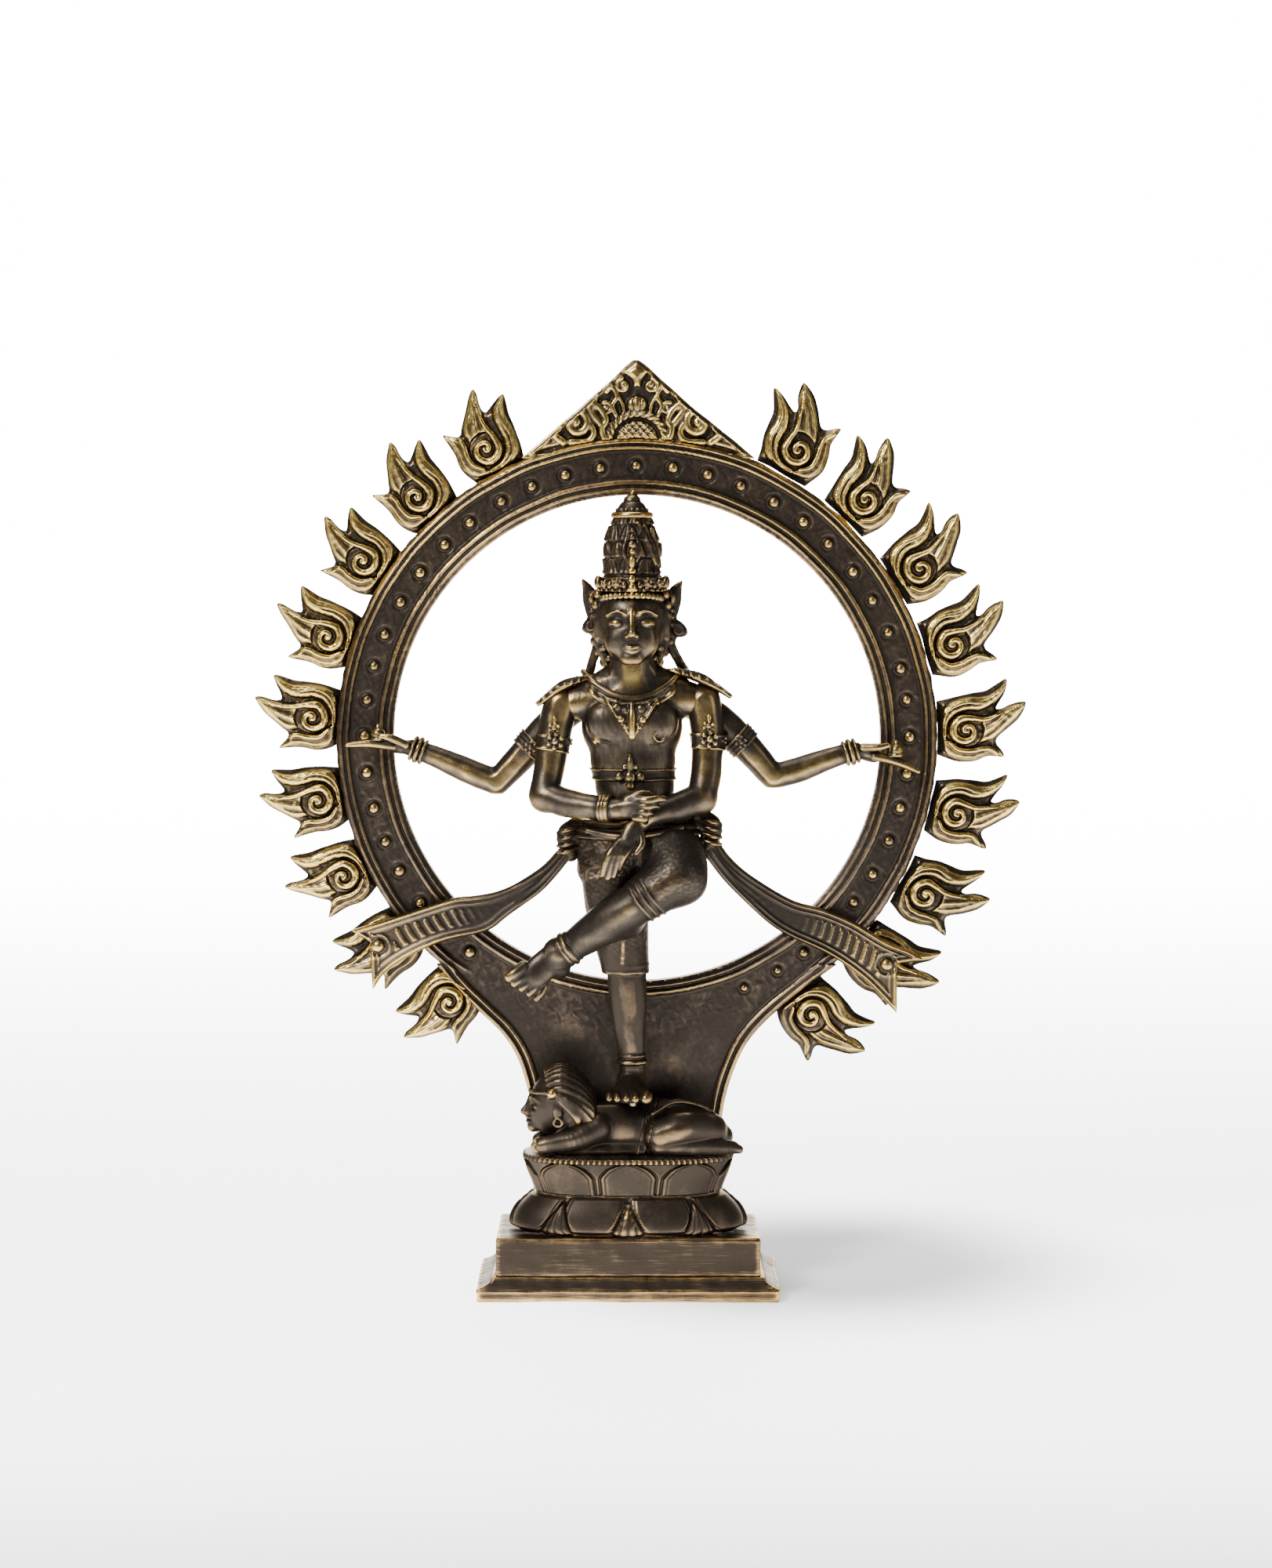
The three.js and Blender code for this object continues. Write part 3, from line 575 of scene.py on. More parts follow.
def path_distance(x, z, path):
    """Distance to a line through points in the plane, and how far along it the nearest place lies."""
    best = np.full(np.broadcast(x, z).shape, 1e6)
    along = np.zeros_like(best)
    total = 0
    for (x0, z0), (x1, z1) in zip(path[:-1], path[1:]):
        dx, dz = x1 - x0, z1 - z0
        run = math.hypot(dx, dz)
        if run < 1e-9:
            continue
        t = np.clip(((x - x0) * dx + (z - z0) * dz) / run ** 2, 0, 1)
        d = np.hypot(x - x0 - t * dx, z - z0 - t * dz)
        closer = d < best
        best = np.where(closer, d, best)
        along = np.where(closer, total + t * run, along)
        total += run
    return best, along


def inside_distance(x, z, outline):
    """Signed distance to a closed outline, negative inside."""
    ring = list(outline) + [outline[0]]
    best, _ = path_distance(x, z, ring)
    inside = np.zeros(best.shape, bool)
    for (x0, z0), (x1, z1) in zip(ring[:-1], ring[1:]):
        if z0 == z1:
            continue
        crosses = (z0 > z) != (z1 > z)
        inside ^= crosses & (x < (x1 - x0) * (z - z0) / (z1 - z0) + x0)
    return np.where(inside, -best, best)


def model_arch():
    clay = Clay((-127, 8.4, 55), (127, 18.4, 350), 0.5)
    x, z = clay.axes[0][:, None], clay.axes[2][None, :]
    up = z - RING_Z
    r = np.hypot(x, up)
    fine = wobble(x, 0, z, 6, 22)
    r2 = r + 0.22 * wobble(x, 0, z, 22, 21)
    left, right = smooth_path(FAN_LEFT), smooth_path(FAN_RIGHT)
    in_fan = inside_distance(x, z, [*left, *right[::-1]])
    fan = np.maximum(in_fan, 105 - r)
    ring = np.maximum(r2 - RING_OUTSIDE - 0.35 * fine, RING_INSIDE - r)
    low_arc = step_up(1.5, -4.5, in_fan) * (up < 0)   # where the band runs on into the fan
    inner_rim = 1.1 * step_up(106.6, 105.8, r2) - ridge(r2, 103.4, 0.5, 0.75) - ridge(r2, 100.6, 0.7, 0.4)
    inner_rim += ridge(r2, 102.2, 0.55, 0.5) + ridge(r2, 104.8, 0.55, 0.5)
    outer_rim = 1.1 * step_up(117.6, 118.4, r2) - ridge(r2, 120.2, 0.45, 0.75)
    outer_rim += ridge(r2, 119.1, 0.5, 0.5) + ridge(r2, 121.3, 0.5, 0.5) - 0.9 * step_up(122, 123.2, r2)
    high = inner_rim + outer_rim * (1 - low_arc)
    for path in (left, right):
        d, _ = path_distance(x, z, path)
        rim = step_up(5.6, 4.8, d) - ridge(d, 2.7, 0.5, 0.8) + ridge(d, 3.9, 0.5, 0.5)
        rim += ridge(d, 1.5, 0.5, 0.5) - 0.8 * step_up(0.9, 0, d)
        high = np.maximum(high, high + rim * step_up(0.5, -0.5, in_fan) * step_up(117, 121, r2))
    wx, wz = x + 1.5 * fine, z + 1.5 * wobble(x, 0, z, 7, 30)
    pitted = 0.09 * wobble(wx, 0, wz, 1.9, 31, 16) + 0.10 * wobble(wx, 0, wz, 4.2, 32, 12)
    high += pitted * (1 - 0.75 * step_up(119, 123, r) * low_arc) + 0.15 * wobble(x, 0, z, 45, 33)
    bosses = []
    for k in range(-19, 22):
        a = 90 - k * BOSS_PITCH + rng.normal(0, 0.25)
        if not -68 < a < 233.5:
            continue
        bx, bz = BOSS_RADIUS * math.cos(math.radians(a)), BOSS_RADIUS * math.sin(math.radians(a)) + RING_Z
        rho = np.hypot(x - bx, z - bz)
        size = 2.15 + rng.normal(0, 0.12) - 0.5 * (a < -53)
        dome = np.sqrt(np.maximum(size ** 2 - rho ** 2, 0)) * 0.85
        high = np.where(rho < size, dome, high) - ridge(rho, size + 0.9, 0.45, 0.4) * (rho > size)
        bosses.append((bx, bz, rng.uniform(0.0, 0.22)))
    cast_back = wobble(x, 0, z, 16, 35) + 0.4 * wobble(x, 0, z, 3.5, 36)
    y = clay.cells()[1]   # the back lies on a layer of the grid, so the order of its sum decides the quads
    back = y - 16.9 - 0.2 * cast_back[:, None, :]
    front = (11.8 - high)[:, None, :] - y
    clay.d = np.maximum(np.maximum(np.minimum(ring, fan)[:, None, :], front), back).astype(np.float32)
    clay.above(56.8)

    def gold(x, y, z):
        r = np.hypot(x, z - RING_Z)
        # painted light: the ring grows brighter towards the top, and its outer rim up there brighter still
        worn = 0.03 + 0.07 * step_up(RING_Z - 70, RING_Z + 60, z)
        for bx, bz, extra in bosses:
            worn += extra * (np.hypot(x - bx, z - bz) < 2.0) * (y < 13)
        warm = step_up(7, 0, np.hypot((x + 30) / 2.4, (z - 106) / 1.6))
        warm += 0.6 * step_up(8, 0, np.hypot((x - 12) / 1.8, (z - 92) / 1.6))
        worn += 0.13 * warm + 0.10 * step_up(117, 119, r) * step_up(RING_Z + 40, RING_Z + 110, z)
        # painted shade: the rims are darker on the lower part of the ring
        rims = np.maximum(step_up(106.5, 105.5, r), step_up(117, 118, r))
        worn -= 0.19 * rims * step_up(RING_Z + 80, RING_Z - 20, z) * step_up(124, 136, z)
        worn -= (0.04 + 0.16 * step_up(104, 101, r)) * step_up(136, 124, z)
        return worn - 0.2 * step_up(12.6, 14.2, y) + 0.22 * step_up(16.0, 16.6, y)
    cast("arch_ring", clay.faces(), SHEET, gold, name="ring_casting")


# ---- flames --------------------------------------------------------------------------------------

# outlines of a flame about the middle of its curl, tongues up, crest of the ring to the right
FLAME_OUTLINES = {
    "left": [(-9.4, -11.4), (-11.8, -6.6), (-12.7, -1.6), (-12.3, 3.4), (-12.6, 8.4), (-13.0, 13.2),
             (-10.4, 11.4),
             (-8.4, 9.8), (-6.4, 9.9), (-4.6, 12.4), (-1.4, 16.4), (2.2, 20.6), (6.6, 24.1), (7.4, 21.6),
             (6.6, 18.4),
             (6.2, 15.4), (7.0, 13.2), (9.2, 14.0), (12.6, 15.8), (16.5, 16.9), (16.2, 13.0), (15.1, 8.2),
             (14.9, 3.0),
             (14.2, -2.6), (12.9, -7.6), (11.9, -11.4)],
    "right": [(-9.6, -11.6), (-12.1, -5.4), (-12.8, -0.8), (-12.3, 3.8), (-10.6, 8.0), (-10.8, 11.8),
              (-11.0, 15.7),
              (-8.6, 14.9), (-6.2, 12.8), (-4.0, 12.5), (-1.6, 15.0), (0.9, 18.1), (5.0, 22.2), (10.9, 24.9),
              (11.5, 22.4), (10.4, 18.2), (8.8, 15.0), (8.9, 12.8), (12.0, 14.2), (15.8, 16.2), (21.0, 17.2),
              (19.0, 13.0), (16.2, 8.4), (15.7, 3.4), (14.8, -1.8), (13.4, -6.8), (12.4, -11.6)],
}
TIP_LEAN = {"left": (0, 0), "right": (3.9, 0.6)}   # how much further the tongues of each side lean
# locks of a flame as lines through [x, z, half-width]
MIDDLE_TONGUE = [[0.4, 5.0, 5.0], [0.5, 9, 5.3], [1.2, 13, 4.5], [3.2, 18, 3.0], [6.4, 23.2, 0.8]]
CREST_LOCK = [[-1.5, -9.2, 1.4], [4, -9.0, 2.0], [8.9, -6.0, 2.8], [11.2, -0.6, 3.0], [10.9, 5, 2.9],
              [11.2, 9.6, 2.5], [13.2, 13.2, 1.7], [16.2, 16.6, 0.5]]
HOLLOW_LOCK = [[-3.4, -8.6, 1.2], [-7.6, -6.2, 2.3], [-9.8, -0.6, 2.7], [-9.7, 5, 2.5], [-9.9, 8.8, 2.0],
               [-12.4, 12.6, 0.5]]
HOLLOW_RIM = [[-4.2, -7.0, 0.8], [-7.4, -3.6, 1.1], [-8.0, 1.4, 1.2], [-7.2, 5.6, 1.15], [-8.2, 9.0, 0.95],
              [-11.9, 12.2, 0.4]]
# the curl, as [radius, degrees, half-width], and the line in which it runs on up the middle tongue
CURL = [[0.5, -140, 0.8], [1.3, -60, 1.15], [1.9, 0, 1.3], [2.9, 90, 1.4], [4.0, 180, 1.55], [5.2, 270, 1.7],
        [5.7, 345, 1.7]]
CURL_TAIL = [[5.2, 3.2, 1.35], [4.4, 7.0, 1.25], [4.2, 11, 1.1], [5.0, 16, 0.9], [6.3, 21, 0.5]]
FLAMES_A_SIDE = 9
# for each side of the ring: which way it turns, the curls' radius, and the first and the next flames' degrees
FLAME_ROWS = {"left": (1, 133.6, 27.7, 14.62), "right": (-1, 135.2, 29.1, 14.84)}


def lock(x, z, points):
    """Where each place lies across a lock of hair, from -1 to 1, and how far along it."""
    path = smooth_path(points)
    best = np.full(np.broadcast(x, z).shape, 1e3)
    along = np.zeros_like(best)
    total = 0
    for p, q in zip(path[:-1], path[1:]):
        dx, dz = q[:2] - p[:2]
        run = max(math.hypot(dx, dz), 1e-9)
        t = np.clip(((x - p[0]) * dx + (z - p[1]) * dz) / run ** 2, 0, 1)
        share = np.hypot(x - p[0] - t * dx, z - p[1] - t * dz) / np.maximum(p[2] + t * (q[2] - p[2]), 0.05)
        share = share * np.where(dx * (z - p[1]) - dz * (x - p[0]) > 0, 1, -1)
        closer = np.abs(share) < np.abs(best)
        best = np.where(closer, share, best)
        along = np.where(closer, total + t * run, along)
        total += run
    return best, along


def flame_faces(side, seed):
    clay = Clay((-16, 8.0, -13), (24, 18.2, 27), 0.36)
    x, z = clay.axes[0][:, None], clay.axes[2][None, :]
    x, z = x + 0.3 * wobble(x, 0, z, 13, seed), z + 0.3 * wobble(x, 0, z, 13, seed + 1)
    plan = np.maximum(inside_distance(x, z, smooth_path(FLAME_OUTLINES[side], 3)), -z - 11.6)
    lean = step_up(4, 20, z)
    u, v = x - TIP_LEAN[side][0] * lean, z - TIP_LEAN[side][1] * lean
    r = np.hypot(u, v)
    edge = np.clip(-plan / 2.0, 0, 1) ** 0.75
    share, along = lock(u, v, MIDDLE_TONGUE)
    hairs = 0.32 * np.sin(share * 8.5 + 0.25 * along) * step_up(20, 12, v) * step_up(0.95, 0.6, abs(share))
    tongue = (1.7 + 2.0 * rounded(share * 0.96) + hairs) * step_up(6.5, 7.2, r)
    high = np.maximum(1.7, tongue) * edge
    share, along = lock(u, v, CREST_LOCK)
    split = ridge(share, 0.12, 0.13, 1.0) * step_up(26, 18, along) + ridge(share, -0.5, 0.1, 0.3)
    high = np.maximum(high, (1.5 + 2.7 * rounded(share * 0.97) - split) * edge)
    share, _ = lock(u, v, HOLLOW_LOCK)
    high = np.maximum(high, (1.6 + 1.3 * rounded(share * 0.96)) * edge)
    share, _ = lock(u, v, HOLLOW_RIM)
    high = np.maximum(high, (2.6 + 1.5 * rounded(share)) * edge * (abs(share) < 1))
    curl = [[rr * math.cos(math.radians(a)), rr * math.sin(math.radians(a)), w] for rr, a,
            w in smooth_path(CURL, 3)]
    share, _ = lock(u, v, curl + CURL_TAIL)
    bed = step_up(6.9, 6.2, r) * edge
    high = high * (1 - bed) + 2.5 * bed
    high = np.maximum(high, (2.3 + 2.3 * rounded(share * 0.97)) * np.maximum(edge, bed) * (abs(share) < 1.02))
    high = np.where(r < 1.0, np.maximum(high, 4.3), high)
    high = high * (1 - 0.6 * step_up(-8.6, -10.9, z)) + 0.10 * wobble(x, 0, z, 2.6, seed + 2)
    clay.plate(plan, 14.6 - 1.12 * high, 16.6, steep=0.8)
    points, quads, relief = clay.faces()
    return points * [-1 if side == "right" else 1, 1, 1], quads, relief


def model_flames():
    for side, (mirror, radius, start, pitch) in FLAME_ROWS.items():
        shapes = [flame_faces(side, 40 + 7 * k + mirror) for k in range(3)]
        for i in range(FLAMES_A_SIDE):
            points, quads, relief = shapes[i % 3]
            tilt = math.radians(-mirror * (start + i * pitch + rng.normal(0, 0.3)))
            c, s = math.cos(tilt), math.sin(tilt)
            size = rng.normal(1.0, 0.01)
            out, y, up = points.T
            x, z = out * size, up * size + radius
            placed = np.stack([c * x + s * z, y, -s * x + c * z + RING_Z], 1)
            low_down = max(i - 3, 0)   # painted shade: the flames are darker towards the foot of the ring
            gold = rng.uniform(0.2, 0.32) + 0.16 * step_up(12.4, 10.8, y) - 0.32 * step_up(13.0, 14.2, y)
            # painted shade: the eighth flame of each side, behind the scarf, is darker, and the lower flames
            # more so on the right and on their sides that face down the ring
            gold -= 0.25 * step_up(-7, -11, up) + 0.16 * (i == 7) + 0.025 * low_down * (side == "right")
            gold -= 0.05 * low_down * step_up(-4.5, -7.5, mirror * out)
            cast(f"flame_{side}_{i + 1}", (placed, quads, relief), GOLDEN, gold)


# ---- pediment ------------------------------------------------------------------------------------

PEDIMENT = [(-47.5, 339.5), (-24, 359.4), (-4.2, 377.2), (-1.4, 379.4), (0.8, 379.4), (3.6, 377.4),
            (24, 359.2),
            (48.5, 339.5)]
APEX_LEAF = [(-1.5, 368.2), (-2.1, 371.2), (-5.9, 374.2), (-3.0, 376.8), (-0.4, 378.6), (2.2, 376.9),
             (5.1, 374.8),
             (2.1, 371.0), (1.5, 368.2)]
SIDE_FAN = [(14.6, 358.2), (22.8, 358.4), (19.8, 361.6), (15.4, 365.4), (15.8, 361.4)]
# volutes of the right half: middle x and z, reach, turns, degrees at the start, hand, half-width, height
VOLUTES = [(24.8, 353.6, 5.6, 1.1, 90, 1, 2.1, 2.8), (12.4, 359.8, 2.6, 1.2, 60, 1, 1.1, 2.0),
           (5.6, 369.0, 3.0, 1.2, 80, -1, 1.2, 2.2)]
# stems and leaves of the right half: points, half-width and height
STEMS = [([(24.6, 358), (30.5, 355.5), (33.5, 349.5), (30, 346)], 1.8, 2.4),
         ([(20.4, 356), (17.6, 350.5), (20, 346.6), (27, 346.2)], 1.6, 2.3),
         ([(30, 346.6), (38, 344.6), (44, 341.8)], 1.5, 1.6),
         ([(12.8, 346.5), (14.2, 351.5), (12.6, 355.0), (14.8, 359.5), (17.8, 361.6)], 1.7, 2.4),
         ([(14.8, 353.5), (18.2, 357.6), (19.6, 361.2)], 1.9, 2.4),
         ([(8.6, 357), (10.0, 361), (8.2, 364.6), (10.2, 368.4), (12.4, 366.4)], 1.2, 2.0),
         ([(5.2, 357.2), (5.8, 361.2), (7.6, 364.8)], 1.0, 1.8)]
STEMS += [([(31.5 + 2.9 * k, 351.6 - 1.9 * k), (33.7 + 2.9 * k, 347.6 - 1.6 * k)], 1.15, 1.7 - 0.15 * k)
          for k in range(5)]


def model_pediment():
    clay = Clay((-50, 7.4, 338), (51, 18, 382.5), 0.42)
    x, z = clay.axes[0][:, None], clay.axes[2][None, :]
    r = np.hypot(x, z - RING_Z)
    d = inside_distance(x + 0.3 * wobble(x, 0, z, 14, 71), z, PEDIMENT)
    carved = [0 * d]
    for s in (-1, 1):
        for cx, cz, reach, turns, start, hand, width, tall in VOLUTES:
            t = np.linspace(0, 1, 34)
            a = math.radians(start) + hand * turns * 2 * math.pi * t
            q = reach * (1 - 0.86 * t)
            gap, _ = path_distance(x, z, list(zip(s * (cx + q * np.cos(a)), cz + q * np.sin(a))))
            carved.append(tall * rounded(gap / width))
            carved.append(1.1 * tall * rounded(np.hypot(x - s * cx, z - cz) / (0.36 * reach)))
        for points, width, tall in STEMS:
            gap, _ = path_distance(x, z, smooth_path([(s * px, pz) for px, pz in points]))
            carved.append(tall * rounded(gap / width))
        fan = inside_distance(x, z, [(s * px, pz) for px, pz in SIDE_FAN])
        carved.append(2.3 * np.clip(-fan / 1.8, 0, 1) ** 0.5)
    bud = 2.4 * rounded(np.hypot(x / 4.3, (z - 361.2) / 3.9))
    carved.append(bud - ridge(abs(x), 1.35 + 0.05 * (z - 361), 0.35, 0.5) * (bud > 0.2))
    carved.append(2.5 * np.clip(-inside_distance(x, z, APEX_LEAF) / 2.2, 0, 1) ** 0.5)
    # a rope bent round a bowl of lattice, in the middle of the foot
    rope_r = np.hypot(x, z - 346.2)
    twist = 0.5 * np.cos(np.arctan2(z - 346.2, x) * 26 + (rope_r - 11.4) * 1.9)
    carved.append((1.9 + twist) * rounded((rope_r - 11.6) / 1.9) * (z > 345))
    relief = np.max(carved, axis=0)
    lattice = 0.7 + 0.8 * np.clip(np.cos((x + z) * 2.05) * 0.5 + np.cos((x - z) * 2.05) * 0.5 + 0.35, 0, 1)
    relief = np.where(rope_r < 9.0, (lattice + rounded(rope_r / 9)) * step_up(9.0, 8.2, rope_r), relief)
    relief = np.where(r < 122.9, 0.6, relief)
    high = 1.5 - 0.9 * step_up(1.7, 2.3, -d) + relief * step_up(1.0, 2.0, -d) + 0.1 * wobble(x, 0, z, 3.5, 72)
    clay.plate(np.maximum(d, 121.9 - r), 12.6 - high, 16.8)
    gold = lambda x, y, z: 0.10 + 0.24 * step_up(11.6, 9.6, y) - 0.3 * (y > 14.5)
    cast("pediment", clay.faces(), GOLDEN, gold)


# ---- helpers for the figure ----------------------------------------------------------------------

def skin(clay, thickness, region, under=0.7):
    """A band of the given thickness over what is modelled in clay, where region is negative."""
    band = clay.part(clay.low, clay.axes)
    shell = np.maximum(clay.d - thickness, -clay.d - under)
    band.d = np.maximum(shell, region(*clay.cells())).astype(np.float32)
    return band


def join(clay, other):
    clay.d = np.minimum(clay.d, other.d)


def front_of(clay, x, z):
    """How far forward the model reaches at a place, looking along +Y."""
    i = int(round((x - clay.low[0]) / clay.step))
    k = int(round((z - clay.low[2]) / clay.step))
    hits = np.nonzero(clay.d[i, :, k] < 0)[0]
    return clay.low[1] + clay.step * hits[0] if len(hits) else 0.0


def brocade(x, y, z, centre, cell=7.0):
    """Scrolls and rosettes woven into cloth that hangs round an upright axis."""
    u = np.arctan2(y - centre[1], x - centre[0]) * 15 + 2.0 * np.sin(z / 6)
    row = np.floor(z / cell)
    du = (u / cell + 0.5 * (row % 2)) % 1 - 0.5
    dz = (z / cell) % 1 - 0.5
    r = cell * np.hypot(du, dz)
    petals = 0.12 * np.cos(np.arctan2(dz, du) * 5) * step_up(3.2, 2.4, r) * step_up(0.6, 1.2, r)
    return ridge(r, 2.9, 0.45, 0.17) - 0.16 * step_up(1.0, 0.5, r) - petals


def flower(clay, x, y, z, size, push=0.0):
    """A round bead with a ring of smaller ones, seen from the front."""
    clay.add(ball((x, y - push, z), size * 0.62), 0.2)
    for k in range(6):
        a = k * math.pi / 3 + 0.4
        clay.add(ball((x + size * math.cos(a), y - push * 0.5, z + size * math.sin(a)), size * 0.42), 0.15)


# ---- the dwarf -----------------------------------------------------------------------------------

DWARF_Y = -6.0   # the middle of the dwarf's head, which looks to the viewer's left
BEAD_X, BEAD_Z = -34.4, 82.8   # the bead at the side of its headband


def model_dwarf_head():
    clay = Clay((-49, -20, 56.8), (-11, 9, 95), 0.4)
    c = DWARF_Y
    clay.add(ball((-31, c, 80), (11.8, 10.2, 11))).add(ball((-35.5, c, 74.5), (8.6, 7.6, 9.8)), 3)
    clay.strand([[-27, c, 72, 8], [-20, c, 67, 8.5]], 3)
    # chin, nose and lips
    clay.add(ball((-42.3, c, 67.8), (2.6, 3.2, 2.6)), 2)
    clay.strand([[-42.6, c, 80.6, 1.5], [-44.6, c, 76.2, 1.3], [-46.2, c, 73.9, 1.5]], 1.2)
    clay.strand([[-43.6, c - 2.6, 71.6, 0.6], [-44.9, c, 72.0, 0.9], [-43.6, c + 2.6, 71.6, 0.6]], 0.5)
    clay.strand([[-43.2, c - 2.2, 69.9, 0.6], [-44.4, c, 69.9, 1.1], [-43.2, c + 2.2, 69.9, 0.6]], 0.5)
    for s in (-1, 1):   # eye, brow, eyelid, nostril, ear and earring
        y = lambda away: c + s * away
        clay.cut(ball((-42.0, y(4.6), 76.9), (1.6, 2.6, 1.7)), 1.2)
        clay.add(ball((-40.4, y(4.2), 76.6), (1.9, 2.6, 1.6)), 0.3)
        clay.strand([[-43.4, y(1.6), 79.5, 0.6], [-42.3, y(4.6), 80.1, 0.7], [-39.4, y(7.0), 79.0, 0.5]], 0.6)
        clay.strand([[-42.5, y(2.4), 77.4, 0.4], [-41.4, y(5.0), 78.2, 0.45], [-39.2, y(6.7), 77.0, 0.4]],
                    0.3)
        clay.add(ball((-44.4, y(1.5), 73.6), (1.3, 1.1, 1.1)), 0.5)
        clay.add(ball((-32.2, y(9.0), 75.5), (2.2, 1.6, 3.6)), 0.6)
        clay.add(hoop((-32.0, y(9.6), 70.8), (0.3, 1, 0), 1.7, 0.7), 0.3)
    for k in range(13):   # hair combed back from a band in thick locks
        t = (k - 6) / 6
        side, lift = 10.6 * math.sin(t * 1.45), 10.8 * math.cos(t * 1.45)
        clay.strand([[-37.0 + 1.4 * abs(t), c + 0.9 * side, 79.8 + 0.98 * lift, 1.1],
                     [-31.0, c + side, 80.5 + 1.1 * lift, 1.55],
                     [-24.0, c + side * 0.98, 77.8 + lift, 1.7],
                     [-18.4, c + side * 0.85, 73.6 + 0.7 * lift, 1.4],
                     [-16.4 - 2.0 * abs(t), c + side * 0.66, 69.8 + 0.25 * lift, 0.8]], 0.35, per=3)
    for k in range(6):   # and round its side
        t = k / 5
        clay.strand([[-34.6, c - 9.6, 82.2, 0.7], [-28.5 + 2 * t, c - 11.6, 80.4 - 5.0 * t, 1.35],
                     [-23.5 - 0.5 * t, c - 11.2, 76.6 - 4.6 * t, 1.5],
                     [-18.4 - 6.0 * t, c - 9.4, 71.4 - 1.2 * t, 0.8]],
                    0.3, per=3)
    for s in (-1, 1):
        clay.strand([[-43.3, c + s * 3.0, 82.4, 0.7], [-40.8, c + s * 7.4, 82.6, 0.75],
                     [-34.8, c + s * 10.6, 82.8, 0.8]], 0.2)
    clay.strand([[-43.3, c - 3.2, 82.4, 0.7], [-43.9, c, 82.6, 0.75], [-43.3, c + 3.2, 82.4, 0.7]], 0.2)
    clay.add(ball((BEAD_X, c - 11.0, BEAD_Z), 2.0))
    clay.carve(lambda x, y, z: 0.1 * wobble(x, y, z, 4, 81)).above(56.9)

    def gold(x, y, z):
        on_bead = step_up(2.6, 1.9, np.hypot(x - BEAD_X, z - BEAD_Z)) * (y < -14)
        return -0.05 + 0.5 * on_bead + 0.12 * step_up(79, 70, z) * step_up(-30, -22, x)
    cast("dwarf_head", clay.faces(), DARK, gold)


def model_dwarf_body():
    clay = Clay((-48, -24, 56.5), (44, 12, 84), 0.45)
    clay.strand([[-25, -5, 67, 9.4], [-12, -4, 67.2, 10.3], [2, -4, 66.6, 10.0], [14, -4, 67.4, 11.2],
                 [26, -3, 65.6, 9.0], [34, -2, 62.5, 5.6]])
    # thigh, shin and foot
    clay.strand([[30, -7, 66, 7.2], [20, -13, 68.4, 7.4], [9.5, -14.6, 65.6, 6.4]], 1.6)
    clay.strand([[9.0, -15.0, 61.5, 4.4], [22, -14.2, 60.9, 4.2], [34, -12.4, 60.2, 3.3],
                 [39, -11.5, 59.8, 2.6]], 0.5)
    clay.strand([[37.5, -11.5, 59.8, 2.7], [41.5, -12.4, 59.2, 1.8]], 0.8)
    # near arm with its hand, and the far arm
    clay.strand([[-16, -12, 68, 6.0], [-24, -15, 64.5, 4.8], [-31, -15.8, 63.0, 3.9],
                 [-36.5, -15.6, 62.0, 3.4]], 1.6)
    clay.add(ball((-38.4, -15.2, 61.4), (3.9, 3.6, 3.4)), 0.8)
    for k in range(4):
        clay.strand([[-40.8, -17.2 + 1.7 * k, 63.2, 0.9], [-42.2, -17.0 + 1.7 * k, 61.2, 0.95],
                     [-40.8, -16.8 + 1.7 * k, 59.2, 0.85]], 0.25, per=3)
    clay.strand([[-18, 6, 66, 5], [-30, 8, 61.5, 4], [-40, 4, 60.2, 3.2]], 1.4)
    clay.add(rod((-27, -5.5, 58.6), (30, -4.5, 58.6), 9.5, 8.0, flat=(0, 0, 1), thin=0.45), 1.5)
    # loin band and strap
    join(clay, skin(clay, 0.75, lambda x, y, z: abs(x - 3.6 - 0.25 * (z - 66)) - 1.9))
    clay.cut(rod((3.6, -16.2, 58), (4.8, -13.4, 74), 0.35), 0.3)
    clay.strand([[6.5, -13.5, 74.2, 1.0], [16, -10.8, 78.6, 1.0], [28, -8, 75.4, 0.9], [36, -5, 67, 0.8]],
                0.4)
    clay.carve(lambda x, y, z: 0.12 * wobble(x, y, z, 6, 83)).above(56.9)

    def gold(x, y, z):
        on_hand, on_thigh = step_up(-35, -38, x) * (y < -8), step_up(8, 3, abs(x - 14)) * (y < -15)
        return -0.11 + 0.22 * on_hand + 0.06 * on_thigh + 0.16 * step_up(59.0, 57.6, z) * (y < -10)
    cast("dwarf_body", clay.faces(), DARK, gold)


# ---- the dancing figure --------------------------------------------------------------------------

CX = -2.0   # the middle of the head and chest


